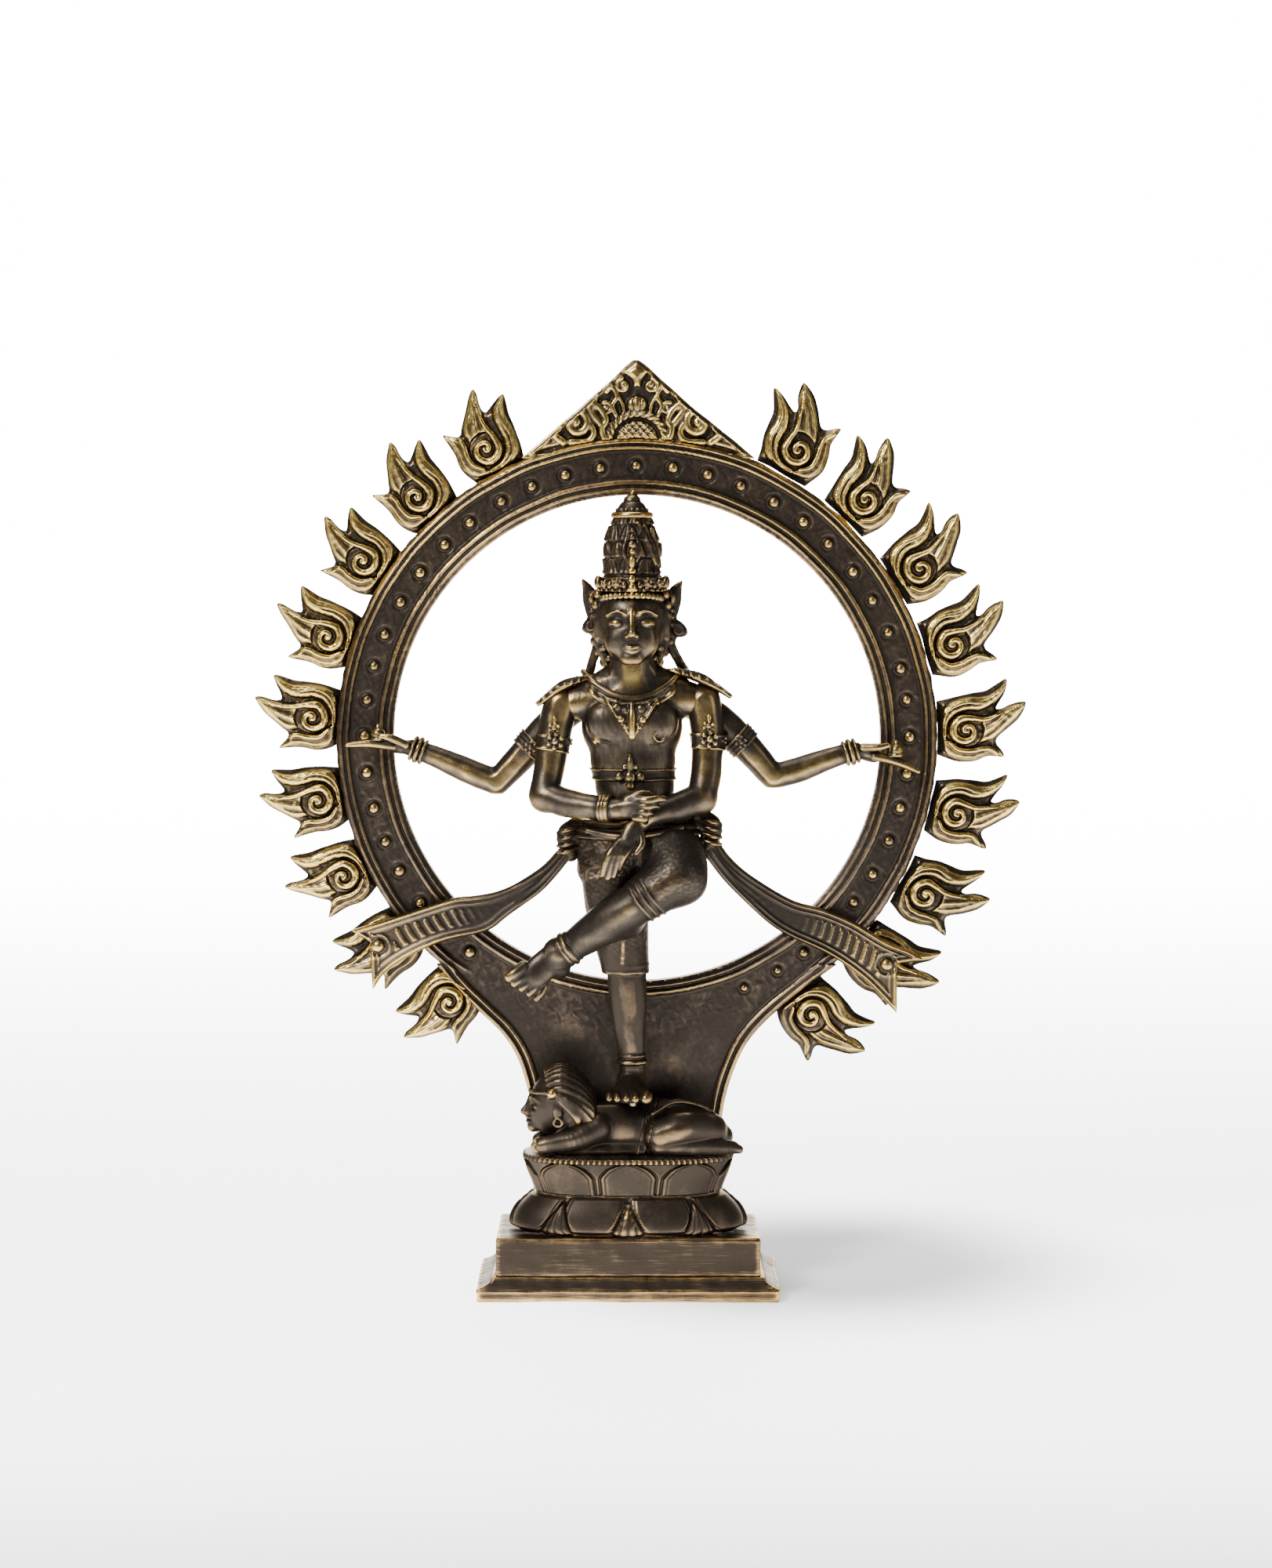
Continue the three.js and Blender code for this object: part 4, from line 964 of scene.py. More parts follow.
def model_torso():
    clay = Clay((-32, -24, 196), (30, 10, 259), 0.45)
    clay.add(ball((CX, -5, 231), (20.5, 11.6, 17.5)))
    clay.add(ball((-1.6, -5, 217), (17.3, 10.8, 14)), 3).add(ball((-0.8, -5, 206), (15.9, 10.3, 13)), 4)
    clay.add(ball((0, -8.5, 203), (12.5, 8, 9)), 4)
    clay.strand([[-25, -4.5, 241, 7.4], [CX, -4, 242.5, 9.5], [21, -4.5, 242, 7.4]], 3)
    clay.strand([[-20, -4, 246, 4.5], [CX, -4, 252, 7], [16.5, -4, 247.4, 4.5]], 4)
    clay.strand([[CX, -3.4, 246, 9.6], [CX, -4.4, 258, 9.2]], 3)
    for s in (-1, 1):
        clay.add(ball((CX + s * 9.3, -12.2, 233.4), (9.2, 4.9, 8.2)), 2.5)
        clay.add(ball((CX + s * 12, 1.5, 236), (8, 5, 10)), 3)
    clay.cut(rod((CX, -18.6, 240), (CX, -17.8, 219), 0.9), 2.2)
    clay.cut(rod((CX, 7.8, 246), (CX, 6.0, 205), 1.0), 2.5)
    clay.add(ball((0.2, -16.4, 203.4), (0.9, 0.8, 0.9)), 0.5)
    for s in (-1, 1):
        clay.cut(rod((CX + s * 15, -13, 226.2), (CX + s * 4, -17.4, 223.4), 0.25), 1.4)
    clay.carve(lambda x, y, z: 0.10 * wobble(x, y, z, 9, 91) + 0.04 * wobble(x, y, z, 2.4, 92))
    clay.add(ball((-16.3, front_of(clay, -16.3, 225.8) - 0.1, 225.8), 1.5), 0.2)
    clay.add(hoop((9.1, front_of(clay, 9.1, 227.8), 227.8), (0.3, -1, 0), 2.2, 0.5), 0.2)

    def gold(x, y, z):
        ribs, throat = step_up(9, 2, np.hypot(x + 9, z - 220)), step_up(6, 1, np.hypot(x + 2, z - 250))
        stud = step_up(2.0, 1.3, np.hypot(x + 16.3, z - 225.8)) * (y < -10)
        return 0.05 + 0.12 * ribs + 0.10 * throat + 0.5 * stud
    cast("torso", clay.faces(), RUBBED, gold)
    model_necklace(clay)
    model_chest_belt(clay)


def model_necklace(chest):
    """Three cords round the neck, and a jewelled gorget that hangs from them to a point."""
    def gorget(x, y, z):
        top = z - (241.6 + 0.02 * (x - CX) ** 2)
        return np.maximum(np.maximum(top, abs(x - CX) * 0.83 - (z - 225.8) * 0.55), y + 6)
    neck = skin(chest, 1.0, gorget)
    neck.d = np.maximum(neck.d, neck.cells()[1] + 4)
    join(neck, skin(chest, 1.7, lambda x, y, z: np.maximum(gorget(x, y, z), -1.1 - gorget(x, y, z))))
    for r, drop in ((1.5, 0.0), (0.8, 2.5), (1.1, 4.6)):
        line = [[-21.8, -3.5, 253.2 - drop, r * 0.8]]
        for x in (-18.4, -15, -9, CX, 5, 11, 14.6):
            z = 242.8 - drop + 0.026 * (x - CX) ** 2
            line.append([x, front_of(chest, x, min(z, 250)) - 0.2, z, r])
        neck.strand(line + [[17.8, -3.5, 253.2 - drop, r * 0.8]], 0.3)
    for dx, z, r in ((-6.2, 239.3, 1.7), (-2.6, 237.8, 1.35), (3.6, 238.6, 1.9), (7.2, 240, 1.5),
                     (-4.4, 234.6, 1.5),
                     (4.2, 234.4, 1.5), (-8.9, 240.8, 1.2), (10, 241.2, 1.2), (-2.6, 231.6, 1.2),
                     (2.8, 231.4, 1.2)):
        neck.add(ball((CX + dx, front_of(chest, CX + dx, z) - 1.2, z), (r, 1.2, r)), 0.2)
    pendant = ((240.5, 240.6, 1.4, 1.2), (236, 236, 1.6, 1.5), (231, 231, 1.6, 1.3), (228, 227.8, 1.2, 1.5))
    neck.strand([[CX, front_of(chest, CX, near) - proud, z, r] for near, z, proud, r in pendant], 0.2)
    gold = lambda x, y, z: 0.17 + 0.2 * step_up(3.0, 1.5, abs(x - CX)) * step_up(241, 238, z)
    cast("necklace", neck.faces(), GOLDEN, gold)


def model_chest_belt(chest):
    belt = skin(chest, 0.4, lambda x, y, z: abs(z - 211.8) - 2.5)
    for z0, w in ((214.0, 0.4), (210.0, 0.45)):
        join(belt, skin(chest, 0.95, lambda x, y, z: abs(z - z0) - w))
    x0 = -2.8
    y0 = front_of(chest, x0, 212) - 1.4
    belt.strand([[x0, y0 + 0.6, 220.4, 0.7], [x0, y0, 217.6, 1.5], [x0, y0 - 0.2, 213, 1.1]], 0.2)
    belt.add(ball((x0, y0 - 0.5, 211.4), (2.3, 1.7, 2.6)), 0.2).add(ball((x0, y0, 207.9), (1.8, 1.5, 1.8)),
                                                                    0.3)
    for s in (-1, 1):
        belt.add(ball((x0 + s * 4.2, y0 + 0.2, 211.4), (1.9, 1.3, 1.9)), 0.2)
        belt.add(ball((x0 + s * 2.1, y0 + 0.1, 215.4), (1.1, 1.0, 1.3)), 0.2)
    gold = lambda x, y, z: 0.03 + 0.33 * step_up(6.2, 4, np.hypot(x - x0, z - 212)) * (y < -12)
    cast("chest_belt", belt.faces(), RUBBED, gold)


def model_head():
    clay = Clay((-22, -27, 250), (18, 14, 293), 0.35)
    c = -2.1
    clay.add(ball((c, -4.5, 275), (13.6, 13.8, 14.6)))
    for s in (-1, 1):
        clay.add(ball((c + s * 11.6, -1.4, 274.5), (5.4, 7.6, 11.5)), 1.5)
    clay.add(ball((c, -8.0, 267.2), (11.2, 10.8, 11.6)), 3)
    clay.strand([[c, -2.6, 249, 9.6], [c, -3.0, 255, 8.5], [c, -3.2, 262, 8.7]], 1.6)
    for z in (252.6, 255.2):
        clay.cut(hoop((c, -3.8, z), (0, -0.18, 1), 9.6, 0.22), 0.5)
    clay.add(ball((c, -15.4, 258.9), (4.6, 3.4, 3.2)), 3.2)
    for s in (-1, 1):
        x = lambda away: c + s * away
        # cheek, eye socket, brow and eye with the rims of its lids
        clay.add(ball((x(6.0), -13.6, 265.8), (4.4, 3.6, 5.4)), 3.0)
        clay.cut(ball((x(5.6), -20.4, 273.4), (4.2, 2.7, 2.3)), 1.8)
        clay.strand([[x(2.0), -18.0, 276.7, 0.5], [x(6.0), -17.9, 278.0, 0.55],
                     [x(10.2), -14.3, 276.2, 0.35]], 1.1)
        clay.add(ball((x(5.6), -15.2, 273.0), (3.6, 2.9, 2.3)), 0.4)
        clay.cut(rod((x(2.4), -18.4, 272.2), (x(5.6), -18.6, 271.6), 0.28), 0.3)
        clay.cut(rod((x(5.6), -18.6, 271.6), (x(9.0), -16.0, 272.3), 0.28), 0.3)
        clay.cut(rod((x(2.6), -18.0, 274.6), (x(5.8), -18.2, 275.8), 0.25), 0.4)
        clay.cut(rod((x(5.8), -18.2, 275.8), (x(9.2), -15.6, 274.7), 0.25), 0.4)
        # nostril and lips
        clay.add(ball((x(1.75), -19.7, 268.0), (1.3, 1.4, 1.15)), 0.7)
        clay.strand([[x(3.6), -17.5, 263.3, 0.3], [x(1.6), -18.4, 263.7, 0.7], [c, -18.6, 263.4, 0.8]], 0.5)
        clay.strand([[x(3.4), -17.4, 263.0, 0.3], [x(1.6), -18.0, 262.2, 0.8], [c, -18.2, 262.0, 1.0]], 0.5)
        for k in range(7):   # locks of hair in front of the ears
            z = 284.5 - 4.3 * k
            out = 14.4 - 0.016 * (z - 277) ** 2
            clay.add(ball((x(out), -5.4 + 0.4 * k, z), (2.1, 3.0, 2.3)), 0.4)
            clay.add(ball((x(out + 2.0), -1.4 + 0.3 * k, z - 1.8), (2.1, 3.0, 2.3)), 0.4)
    clay.strand([[c, -17.6, 277.6, 1.3], [c, -19.4, 273.2, 1.2], [c, -21.3, 269.4, 1.5]], 0.9)
    clay.add(ball((c, -20.8, 268.7), (1.7, 1.7, 1.4)), 0.6)
    for k in range(-8, 9):   # beads along the hairline
        a = math.radians(-90 + 10.5 * k)
        bead = (c + 12.4 * math.cos(a), -4.5 + 13.0 * math.sin(a), 284.2 - 1.8 * (k / 8) ** 2)
        clay.add(ball(bead, (1.25, 1.25, 1.5)), 0.2)
    for k in range(-4, 5):   # hair at the back
        a = math.radians(90 + 21 * k)
        at = lambda r, z: [c + r * math.cos(a), -3.5 + r * 1.02 * math.sin(a), z]
        clay.strand([[*at(12, 285), 2.2], [*at(14, 276), 2.4], [*at(13.4, 266), 2.3], [*at(10, 256), 1.6]],
                    0.5, per=3)
    clay.carve(lambda x, y, z: 0.05 * wobble(x, y, z, 5, 95))

    def gold(x, y, z):
        on_nose = step_up(1.6, 0.5, abs(x - c)) * step_up(266, 268, z)
        return 0.03 + step_up(-11, -14, y) * (0.05 + 0.12 * on_nose)
    cast("head", clay.faces(), RUBBED, gold)


CROWN_Y = -4.5
# half the crown's width at each height, and its jewels up the middle as [z, half-width, half-height]
CROWN_PROFILE = [[285.6, 13.2], [289, 13.5], [292, 12.2], [295, 11.2], [299, 11.5], [304, 11.6], [309, 10.2],
                 [313, 8.6], [315.6, 7.4]]
JEWELS = [[281.2, 0.8, 1.6], [284.0, 1.2, 1.4], [287.2, 1.7, 1.9], [290.8, 1.5, 1.6], [294.0, 1.7, 1.4],
          [297.6, 1.4, 2.7], [302.0, 1.3, 1.3], [304.6, 1.6, 1.5], [307.6, 1.2, 1.4], [310.2, 1.0, 1.2]]


def model_crown():
    clay = Clay((-19, -21, 284), (15, 13, 319), 0.4)
    profile = smooth_path(CROWN_PROFILE, 4)
    width_at = lambda z: np.interp(z, profile[:, 0], profile[:, 1])
    around = lambda r, t, z: (CX + r * math.cos(t), CROWN_Y + r * math.sin(t), z)
    x, y, z = clay.cells()
    x, y = x - CX, y - CROWN_Y
    # the tufts of hair that it is built of, in rows 6.6 mm high, nine round each row
    row, tuft_z = np.floor((z - 292.4) / 6.6), ((z - 292.4) / 6.6) % 1
    tuft_x = (np.arctan2(y, x) * 9 / (2 * math.pi) + 0.5 * (row % 2)) % 1 - 0.5
    tuft_x = tuft_x / (0.16 + 0.40 * np.clip(1 - tuft_z, 0, 1) ** 0.6)
    tufts = 1.3 * rounded(tuft_x) * step_up(0.0, 0.12, tuft_z) - ridge(abs(tuft_x), 0.4, 0.14, 0.4)
    radius = width_at(z) + tufts * step_up(291.6, 293, z) - 0.7
    body = np.maximum(np.maximum(np.hypot(x, y) - radius, 285.6 - z), z - 315.4)
    clay.d = (0.85 * body).astype(np.float32)
    for k in range(26):   # the diadem round its foot
        t = 2 * math.pi * k / 26 + 0.12
        clay.add(ball(around(13.2, t, 288.4), (1.25, 1.25, 1.6)), 0.2)
        clay.add(ball(around(13.6, t + 0.12, 286.3), 0.75), 0.2)
    clay.add(hoop((CX, CROWN_Y, 290.9), (0, 0, 1), 12.4, 0.6), 0.3)
    for s in (-1, 1):
        flower(clay, CX + s * 6.2, -16.9, 289.2, 1.7, 0.4)
        flower(clay, CX + s * 10.9, -12.6, 288.8, 1.5, 0.3)
        clay.add(ball((CX + s * 13.6, -8.4, 289.4), (1.7, 2.0, 2.8)), 0.3)
        clay.strand([[CX + s * 1.8, -15.6, 298, 0.7], [CX + s * 3.4, -15.7, 302, 0.85],
                     [CX + s * 2.2, -15.2, 306.5, 0.8], [CX + s * 0.8, -14.4, 310, 0.6]], 0.25)
    for k in range(3):
        clay.strand([[CX + 2.5 + 2.6 * k, -13.2 + 0.9 * k, 313.0 - 1.2 * k, 0.8],
                     [CX + 6.2 + 1.8 * k, -13.2 + 1.6 * k, 305 - k, 1.1],
                     [CX + 9.4 + 0.9 * k, -11.6 + 2.4 * k, 297 - 0.6 * k, 0.9]], 0.3)
    for z0, r0, tall in JEWELS:
        proud = 0.55 + 1.6 * (z0 < 285)
        clay.add(ball((CX, CROWN_Y - width_at(z0) - proud, z0), (r0, 1.3, tall)), 0.2)
    clay.carve(lambda x, y, z: 0.12 * wobble(x, y, z, 4, 97) + 0.06 * wobble(x, y, z, 1.7, 98))
    gold = lambda x, y, z: 0.03 + 0.38 * step_up(2.6, 1.4, abs(x - CX)) * (y < -12) * step_up(308, 299, z)
    cast("crown", clay.faces(), DARK, gold)

    top = Clay((-13, -16, 314), (10, 7, 328), 0.35)
    axis = lambda z: (CX, CROWN_Y, z)
    top.add(rod(axis(315.4), axis(316.4), 6.5)).add(hoop(axis(316.3), (0, 0, 1), 7.3, 1.35), 0.4).above(314.9)
    for k in range(16):
        top.add(ball(around(5.9, 2 * math.pi * k / 16, 318.3), 0.95), 0.15)
    top.add(ball(axis(319), (5.2, 5.2, 3.0)), 0.3).add(hoop(axis(320.6), (0, 0, 1), 3.9, 0.85), 0.2)
    top.add(ball(axis(322.2), (3.5, 3.5, 2.6)), 0.3).add(ball((CX + 0.4, CROWN_Y, 324.6), (1.7, 1.7, 1.9)),
                                                         0.6)
    gold = lambda x, y, z: 0.10 + 0.14 * step_up(315.6, 317.2, z) * step_up(318, 317, z)
    cast("crown_finial", top.faces(), RUBBED, gold)


def model_ears():
    """On each side a pointed ear ornament, a leaf that flares from the lobe, and the strap below it."""
    for side, s, tip, lobe, strap in (("right", -1, (-22.2, 291), (-21.5, 271), (-19.8, 250.5)),
                                      ("left", 1, (18.4, 290), (19.7, 269.4), (19.9, 252.4))):
        low_x = min(s * 9 - 2, tip[0] - 3, lobe[0] - 4)
        high_x = max(s * 9 - 2, tip[0] + 3, lobe[0] + 6)
        clay = Clay((low_x - 2, -11, 246), (high_x + 2, 9, 294), 0.4)
        e, f = CX + s * 15.0, s * 14.6 - 1.2
        clay.strand([[e - s * 1.0, -3, 274, 3.4], [e + s * 1.6, -3, 281, 3.2],
                     [e + s * 2.6, -3.4, 285.6, 2.6],
                     [tip[0], -4, tip[1], 0.35]], 0.3, flat=(0, 1, 0), thin=0.55)
        clay.strand([[e - s * 1.2, -4, 279, 1.0], [e + s * 1.6, -5.2, 283, 1.2],
                     [e - s * 0.4, -5, 286, 0.8]], 0.2)
        for k in range(4):
            clay.add(ball((e + s * (0.6 + 0.5 * math.sin(k)), -4.4, 281 - 2.8 * k), 1.3), 0.25)
        clay.strand([[lobe[0] - s * 5.4, -2.2, lobe[1] + 3.6, 2.4],
                     [lobe[0] - s * 2.6, -2.2, lobe[1] + 0.6, 3.0],
                     [lobe[0], -2.2, lobe[1] - 0.6, 0.9]], 0.4)
        clay.add(hoop((lobe[0] - s * 2.9, -4.8, lobe[1] + 0.8), (0, 1, 0), 1.7, 0.55), 0.2)
        clay.strand([[lobe[0] - s * 4.6, -1.6, lobe[1] + 0.4, 2.6], [f, 0.4, 264.5, 2.2],
                     [(f + strap[0]) / 2, 1.4, 258, 1.9], [strap[0], 2.0, strap[1], 1.9]],
                    0.4, flat=(0, 1, 0), thin=0.6)
        clay.carve(lambda x, y, z: 0.12 * wobble(x, y, z, 3, 99))
        cast(f"ear_ornament_{side}", clay.faces(), DARK, 0.05)


def model_leaves():
    """The pointed leaf over each shoulder, with a midrib and veins."""
    for side, s, inner, middle, tip in (("right", -1, (-20, 250.4), (-30.5, 246.9), (-39.9, 239.6)),
                                        ("left", 1, (15, 253.4), (27, 249.6), (37.6, 242.6))):
        clay = Clay((min(inner[0], tip[0]) - 4, -17, 234), (max(inner[0], tip[0]) + 4, 7, 260), 0.4)
        clay.strand([[inner[0], -5, inner[1], 3.4], [middle[0] - 5 * s, -5, middle[1] + 1.9, 6.2],
                     [middle[0], -5.4, middle[1], 7.2], [tip[0] - 4 * s, -5.6, tip[1] + 3.4, 5.0],
                     [tip[0], -6, tip[1], 0.7]], 0.5, flat=(0.38 * s, 0, 0.92), thin=0.26)
        clay.strand([[inner[0], -7.5, inner[1] + 0.9, 0.8], [middle[0], -8.4, middle[1] + 1.7, 1.1],
                     [tip[0] - s, -6.5, tip[1] + 0.8, 0.6]], 0.3)
        for k in range(7):
            t = (k + 0.5) / 7
            x = inner[0] + (tip[0] - inner[0]) * t
            z = inner[1] + (tip[1] - inner[1]) * t + 2.4 * math.sin(math.pi * t)
            w = 6.6 * math.sin(math.pi * min(1, 0.25 + 0.75 * t)) ** 0.6
            for f in (-1, 1):
                clay.strand([[x, -5.6, z + 1.6, 0.5], [x + 2 * s, -5.4 + f * w, z - 0.4, 0.75]], 0.3, per=3)
        cast(f"shoulder_leaf_{side}", clay.faces(), RUBBED, 0.14)


def model_hips():
    clay = Clay((-33, -27, 164), (36, 14, 203), 0.45)
    clay.add(ball((0.4, -5, 184), (25.2, 14.4, 15.5))).add(ball((0, -5, 196), (18.5, 11.5, 9)), 4)
    clay.add(ball((-9, -5, 174), (15.5, 13.5, 13)), 3).add(ball((13, -8, 178), (15, 14, 12)), 3)
    slope = lambda x: 190.6 + 0.05 * x
    sash = skin(clay, 1.1, lambda x, y, z: abs(z - slope(x)) - 3.4)
    for dz, w in ((3.1, 0.6), (0.0, 0.8), (-3.0, 0.6)):
        join(sash, skin(clay, 1.9, lambda x, y, z: abs(z - slope(x) - dz - 0.5 * np.sin(x / 5)) - w))
    sash.strand([[-20, -15, 189.4, 1.2], [-8, -20, 187.6, 1.5], [6, -20.6, 188.6, 1.4], [18, -17, 191, 1.2]],
                0.5)
    clay.carve(lambda x, y, z: brocade(x, y, z, (0, -5)) * step_up(191, 187, z))
    gold = lambda x, y, z: 0.03 + 0.16 * step_up(8, 3, np.hypot(x + 14, (z - 181) / 1.7)) * (y < -10)
    cast("hip_cloth", clay.faces(), DARK, gold)
    cast("hip_sash", sash.faces(), DARK, 0.02)
    for side, s, cx, cz in (("right", -1, -27.6, 185.6), ("left", 1, 29.6, 189)):
        knot = Clay((cx - 8, -16, cz - 13), (cx + 8, 8, cz + 10), 0.4)
        knot.strand([[cx - s * 2, -5, cz + 5, 3.2], [cx + s * 0.8, -5, cz + 1, 4.3],
                     [cx - s * 0.6, -4, cz - 6.4, 3.4]], 0.8)
        knot.strand([[cx, -5, cz + 0.6, 3.4], [cx - s * 5.6, -5.6, cz + 0.8 + s, 3.6]], 0.6)
        knot.strand([[cx - s * 2.2, -5, cz + 5.4, 2.8], [cx - s * 5.4, -5.8, cz + 5.2, 2.8]], 0.6)
        for k in range(4):
            knot.strand([[cx - s * 3.5, -8, cz + 4.4 - 2.7 * k, 0.7],
                         [cx + s * 1.4, -9.4, cz + 3.4 - 2.9 * k, 0.95],
                         [cx + s * 4.6, -5, cz + 2.2 - 2.7 * k, 0.7]], 0.3)
        cast(f"hip_knot_{side}", knot.faces(), DARK, 0.03)


def model_standing_leg():
    clay = Clay((-25, -27, 79.3), (14, 14, 184), 0.45)
    clay.strand([[-10, -5, 178, 13.4], [-8.6, -5, 164, 13.4], [-7.6, -5, 152, 12.4], [-5.8, -5, 140, 10.6],
                 [-4.6, -5, 131.6, 9.7]])
    # the trouser leg with its hem
    clay.carve(lambda x, y, z: 0.6 * brocade(x, y, z, (-6.5, -5), 6.2) * step_up(138, 142, z)).above(130.6)
    for z0 in (131.6, 134.2):
        clay.add(hoop((-4.7, -5, z0), (0, 0, 1), 9.1, 0.75), 0.25)
    for k in range(9):   # the seam down the front
        z0 = 135.8 + 2.2 * k
        clay.add(rod((-5.9 + 0.06 * k, front_of(clay, -5.9, z0), z0),
                     (-5.8 + 0.06 * k, front_of(clay, -5.8, z0 + 1.6), z0 + 1.6), 0.7), 0.3)
    # shin, calf, anklet, heel and foot
    clay.strand([[-4.5, -5, 134, 8.2], [-3.6, -4.6, 121, 8.0], [-3.0, -4.8, 108, 6.6], [-2.1, -5, 96, 5.2],
                 [-1.9, -4.8, 89, 5.3]], 0.4)
    clay.add(ball((-3.4, -0.6, 119), (6.4, 6.0, 13)), 3)
    clay.add(hoop((-2.0, -5, 94.2), (0, 0, 1), 5.2, 1.1),
             0.3).add(hoop((-2.0, -5, 96.8), (0, 0, 1), 5.1, 0.6), 0.3)
    clay.strand([[-2.0, -2.6, 84.4, 5.2], [-2.4, -8, 83.8, 5.0]], 2.5)
    clay.strand([[-2.6, -5, 87.5, 5.6], [-3.2, -14, 83.6, 5.4], [-3.4, -18, 82, 4.6]], 2.0, flat=(0, 0.3, 1),
                thin=0.62)
    clay.add(ball((-2.8, -13, 82.6), (8.2, 7.4, 3.2)), 2.5)
    for k, (tx, r) in enumerate(((-11.2, 1.5), (-7.9, 1.7), (-4.3, 1.8), (-0.6, 1.95), (3.7, 2.5))):
        clay.strand([[tx * 0.86 - 0.3, -16.4, 83.2, r], [tx, -20.2, 82.5, r * 1.02],
                     [tx, -22.4 + 0.25 * abs(k - 3), 81.6, r * 0.9]], 0.45, per=3)
    clay.carve(lambda x, y, z: 0.08 * wobble(x, y, z, 7, 103)).above(79.4)

    def gold(x, y, z):
        on_toes = step_up(-19, -21.5, y) * step_up(86, 84, z)
        on_shin = step_up(131, 127, z) * step_up(97, 104, z)
        on_seam = step_up(2.2, 0.8, abs(x + 5.6)) * (y < -12) * step_up(156, 150, z) * (z > 135.5)
        return -0.06 + 0.1 * on_toes - 0.18 * on_shin + 0.16 * on_seam
    cast("standing_leg", clay.faces(), DARK, gold)


def model_raised_leg():
    clay = Clay((-56, -34, 116), (33, 4, 192), 0.45)
    knee, hem, ankle = vec((16.6, -20, 171.5)), vec((1.6, -22, 162.0)), vec((-27.6, -15.6, 141.8))
    run = vec((-0.82, 0.03, -0.57))   # the way the shin points
    clay.strand([[9, -8, 184, 12.5], [14.5, -14, 178, 13.2], [*knee, 11.9]])
    clay.strand([[*knee, 11.6], [8, -22, 166.6, 10.2], [*hem, 9.3]], 2.5)
    clay.carve(lambda x, y, z: 0.4 * brocade(x, y + 6, z, (13, -8), 6.4))
    x, y, z = clay.cells()
    past_hem = (x - hem[0]) * run[0] + (y - hem[1]) * run[1] + (z - hem[2]) * run[2]
    clay.d = np.maximum(clay.d, past_hem - 1.2)
    for k in (0.6, -2.2, -5.0):
        clay.add(hoop(hem + run * k, run, 9.3 - 0.09 * k, 0.5), 0.3)
    clay.strand([[*hem, 8.9], [-8, -20.8, 155.6, 8.7], [-18, -18.2, 148.6, 7.6], [-26, -16, 142.9, 6.2],
                 [-32, -14.6, 139.2, 5.4]], 0.5)
    clay.add(ball((-7, -17, 152.6), (10, 6.6, 7.2)), 3)
    for k, r in ((0, 1.3), (-2.2, 0.75), (2.1, 0.7)):
        clay.add(hoop(ankle + run * k, run, 6.2, r), 0.3)
    # heel, foot and toes
    clay.strand([[-31.5, -14.8, 140.4, 5.6], [-31.4, -12.0, 133.6, 4.6]], 2.5)
    across = vec((0.72, 0.12, -0.68))
    deep = np.cross(across, run)
    clay.strand([[-32.5, -15.2, 139.6, 5.6], [-37.5, -16.2, 134.9, 6.2], [-41.2, -16.9, 131.2, 6.2]], 2.5,
                flat=tuple(deep), thin=0.6)
    for k, r in enumerate((2.45, 1.95, 1.85, 1.75, 1.6)):
        base = vec((-41.6, -17.2, 130.6)) + across * (2.9 * (k - 2))
        tip = vec((-46.6, -18.2, 125.8)) + across * (3.55 * (k - 2)) - run * (0.5 * abs(k - 1))
        clay.strand([[*base, r], [*(base * 0.4 + tip * 0.6 - deep * 0.4), r * 1.05], [*tip, r * 0.9]], 0.35,
                    per=3)
    clay.carve(lambda x, y, z: 0.09 * wobble(x, y, z, 7, 107))

    def gold(x, y, z):
        on_toes = step_up(1.5, 4.5, 0.82 * -(x + 43.5) - 0.57 * (z - 128.5))
        on_shin = step_up(5, 0, abs((z - 152) - 0.62 * (x + 11))) * step_up(2, -4, x) * step_up(-30, -20, x)
        return -0.10 - 0.05 * step_up(-3, 4, x) + 0.18 * on_toes + 0.14 * on_shin
    cast("raised_leg", clay.faces(), RUBBED, gold)


def cuff(clay, at, along, width, thickness, ridges):
    """A band round a limb, with raised ridges at the given places across its width."""
    at, u = vec(at), vec(along) / np.linalg.norm(along)
    place = lambda x, y, z: (x - at[0]) * u[0] + (y - at[1]) * u[1] + (z - at[2]) * u[2]
    near = lambda x, y, z: length(x - at[0], y - at[1], z - at[2]) - 13
    band = skin(clay, thickness, lambda x, y, z: np.maximum(abs(place(x, y, z)) - width / 2, near(x, y, z)))
    for k in ridges:
        region = lambda x, y, z: np.maximum(abs(place(x, y, z) - k) - 0.4, near(x, y, z))
        join(band, skin(clay, thickness + 0.45, region))
    return band


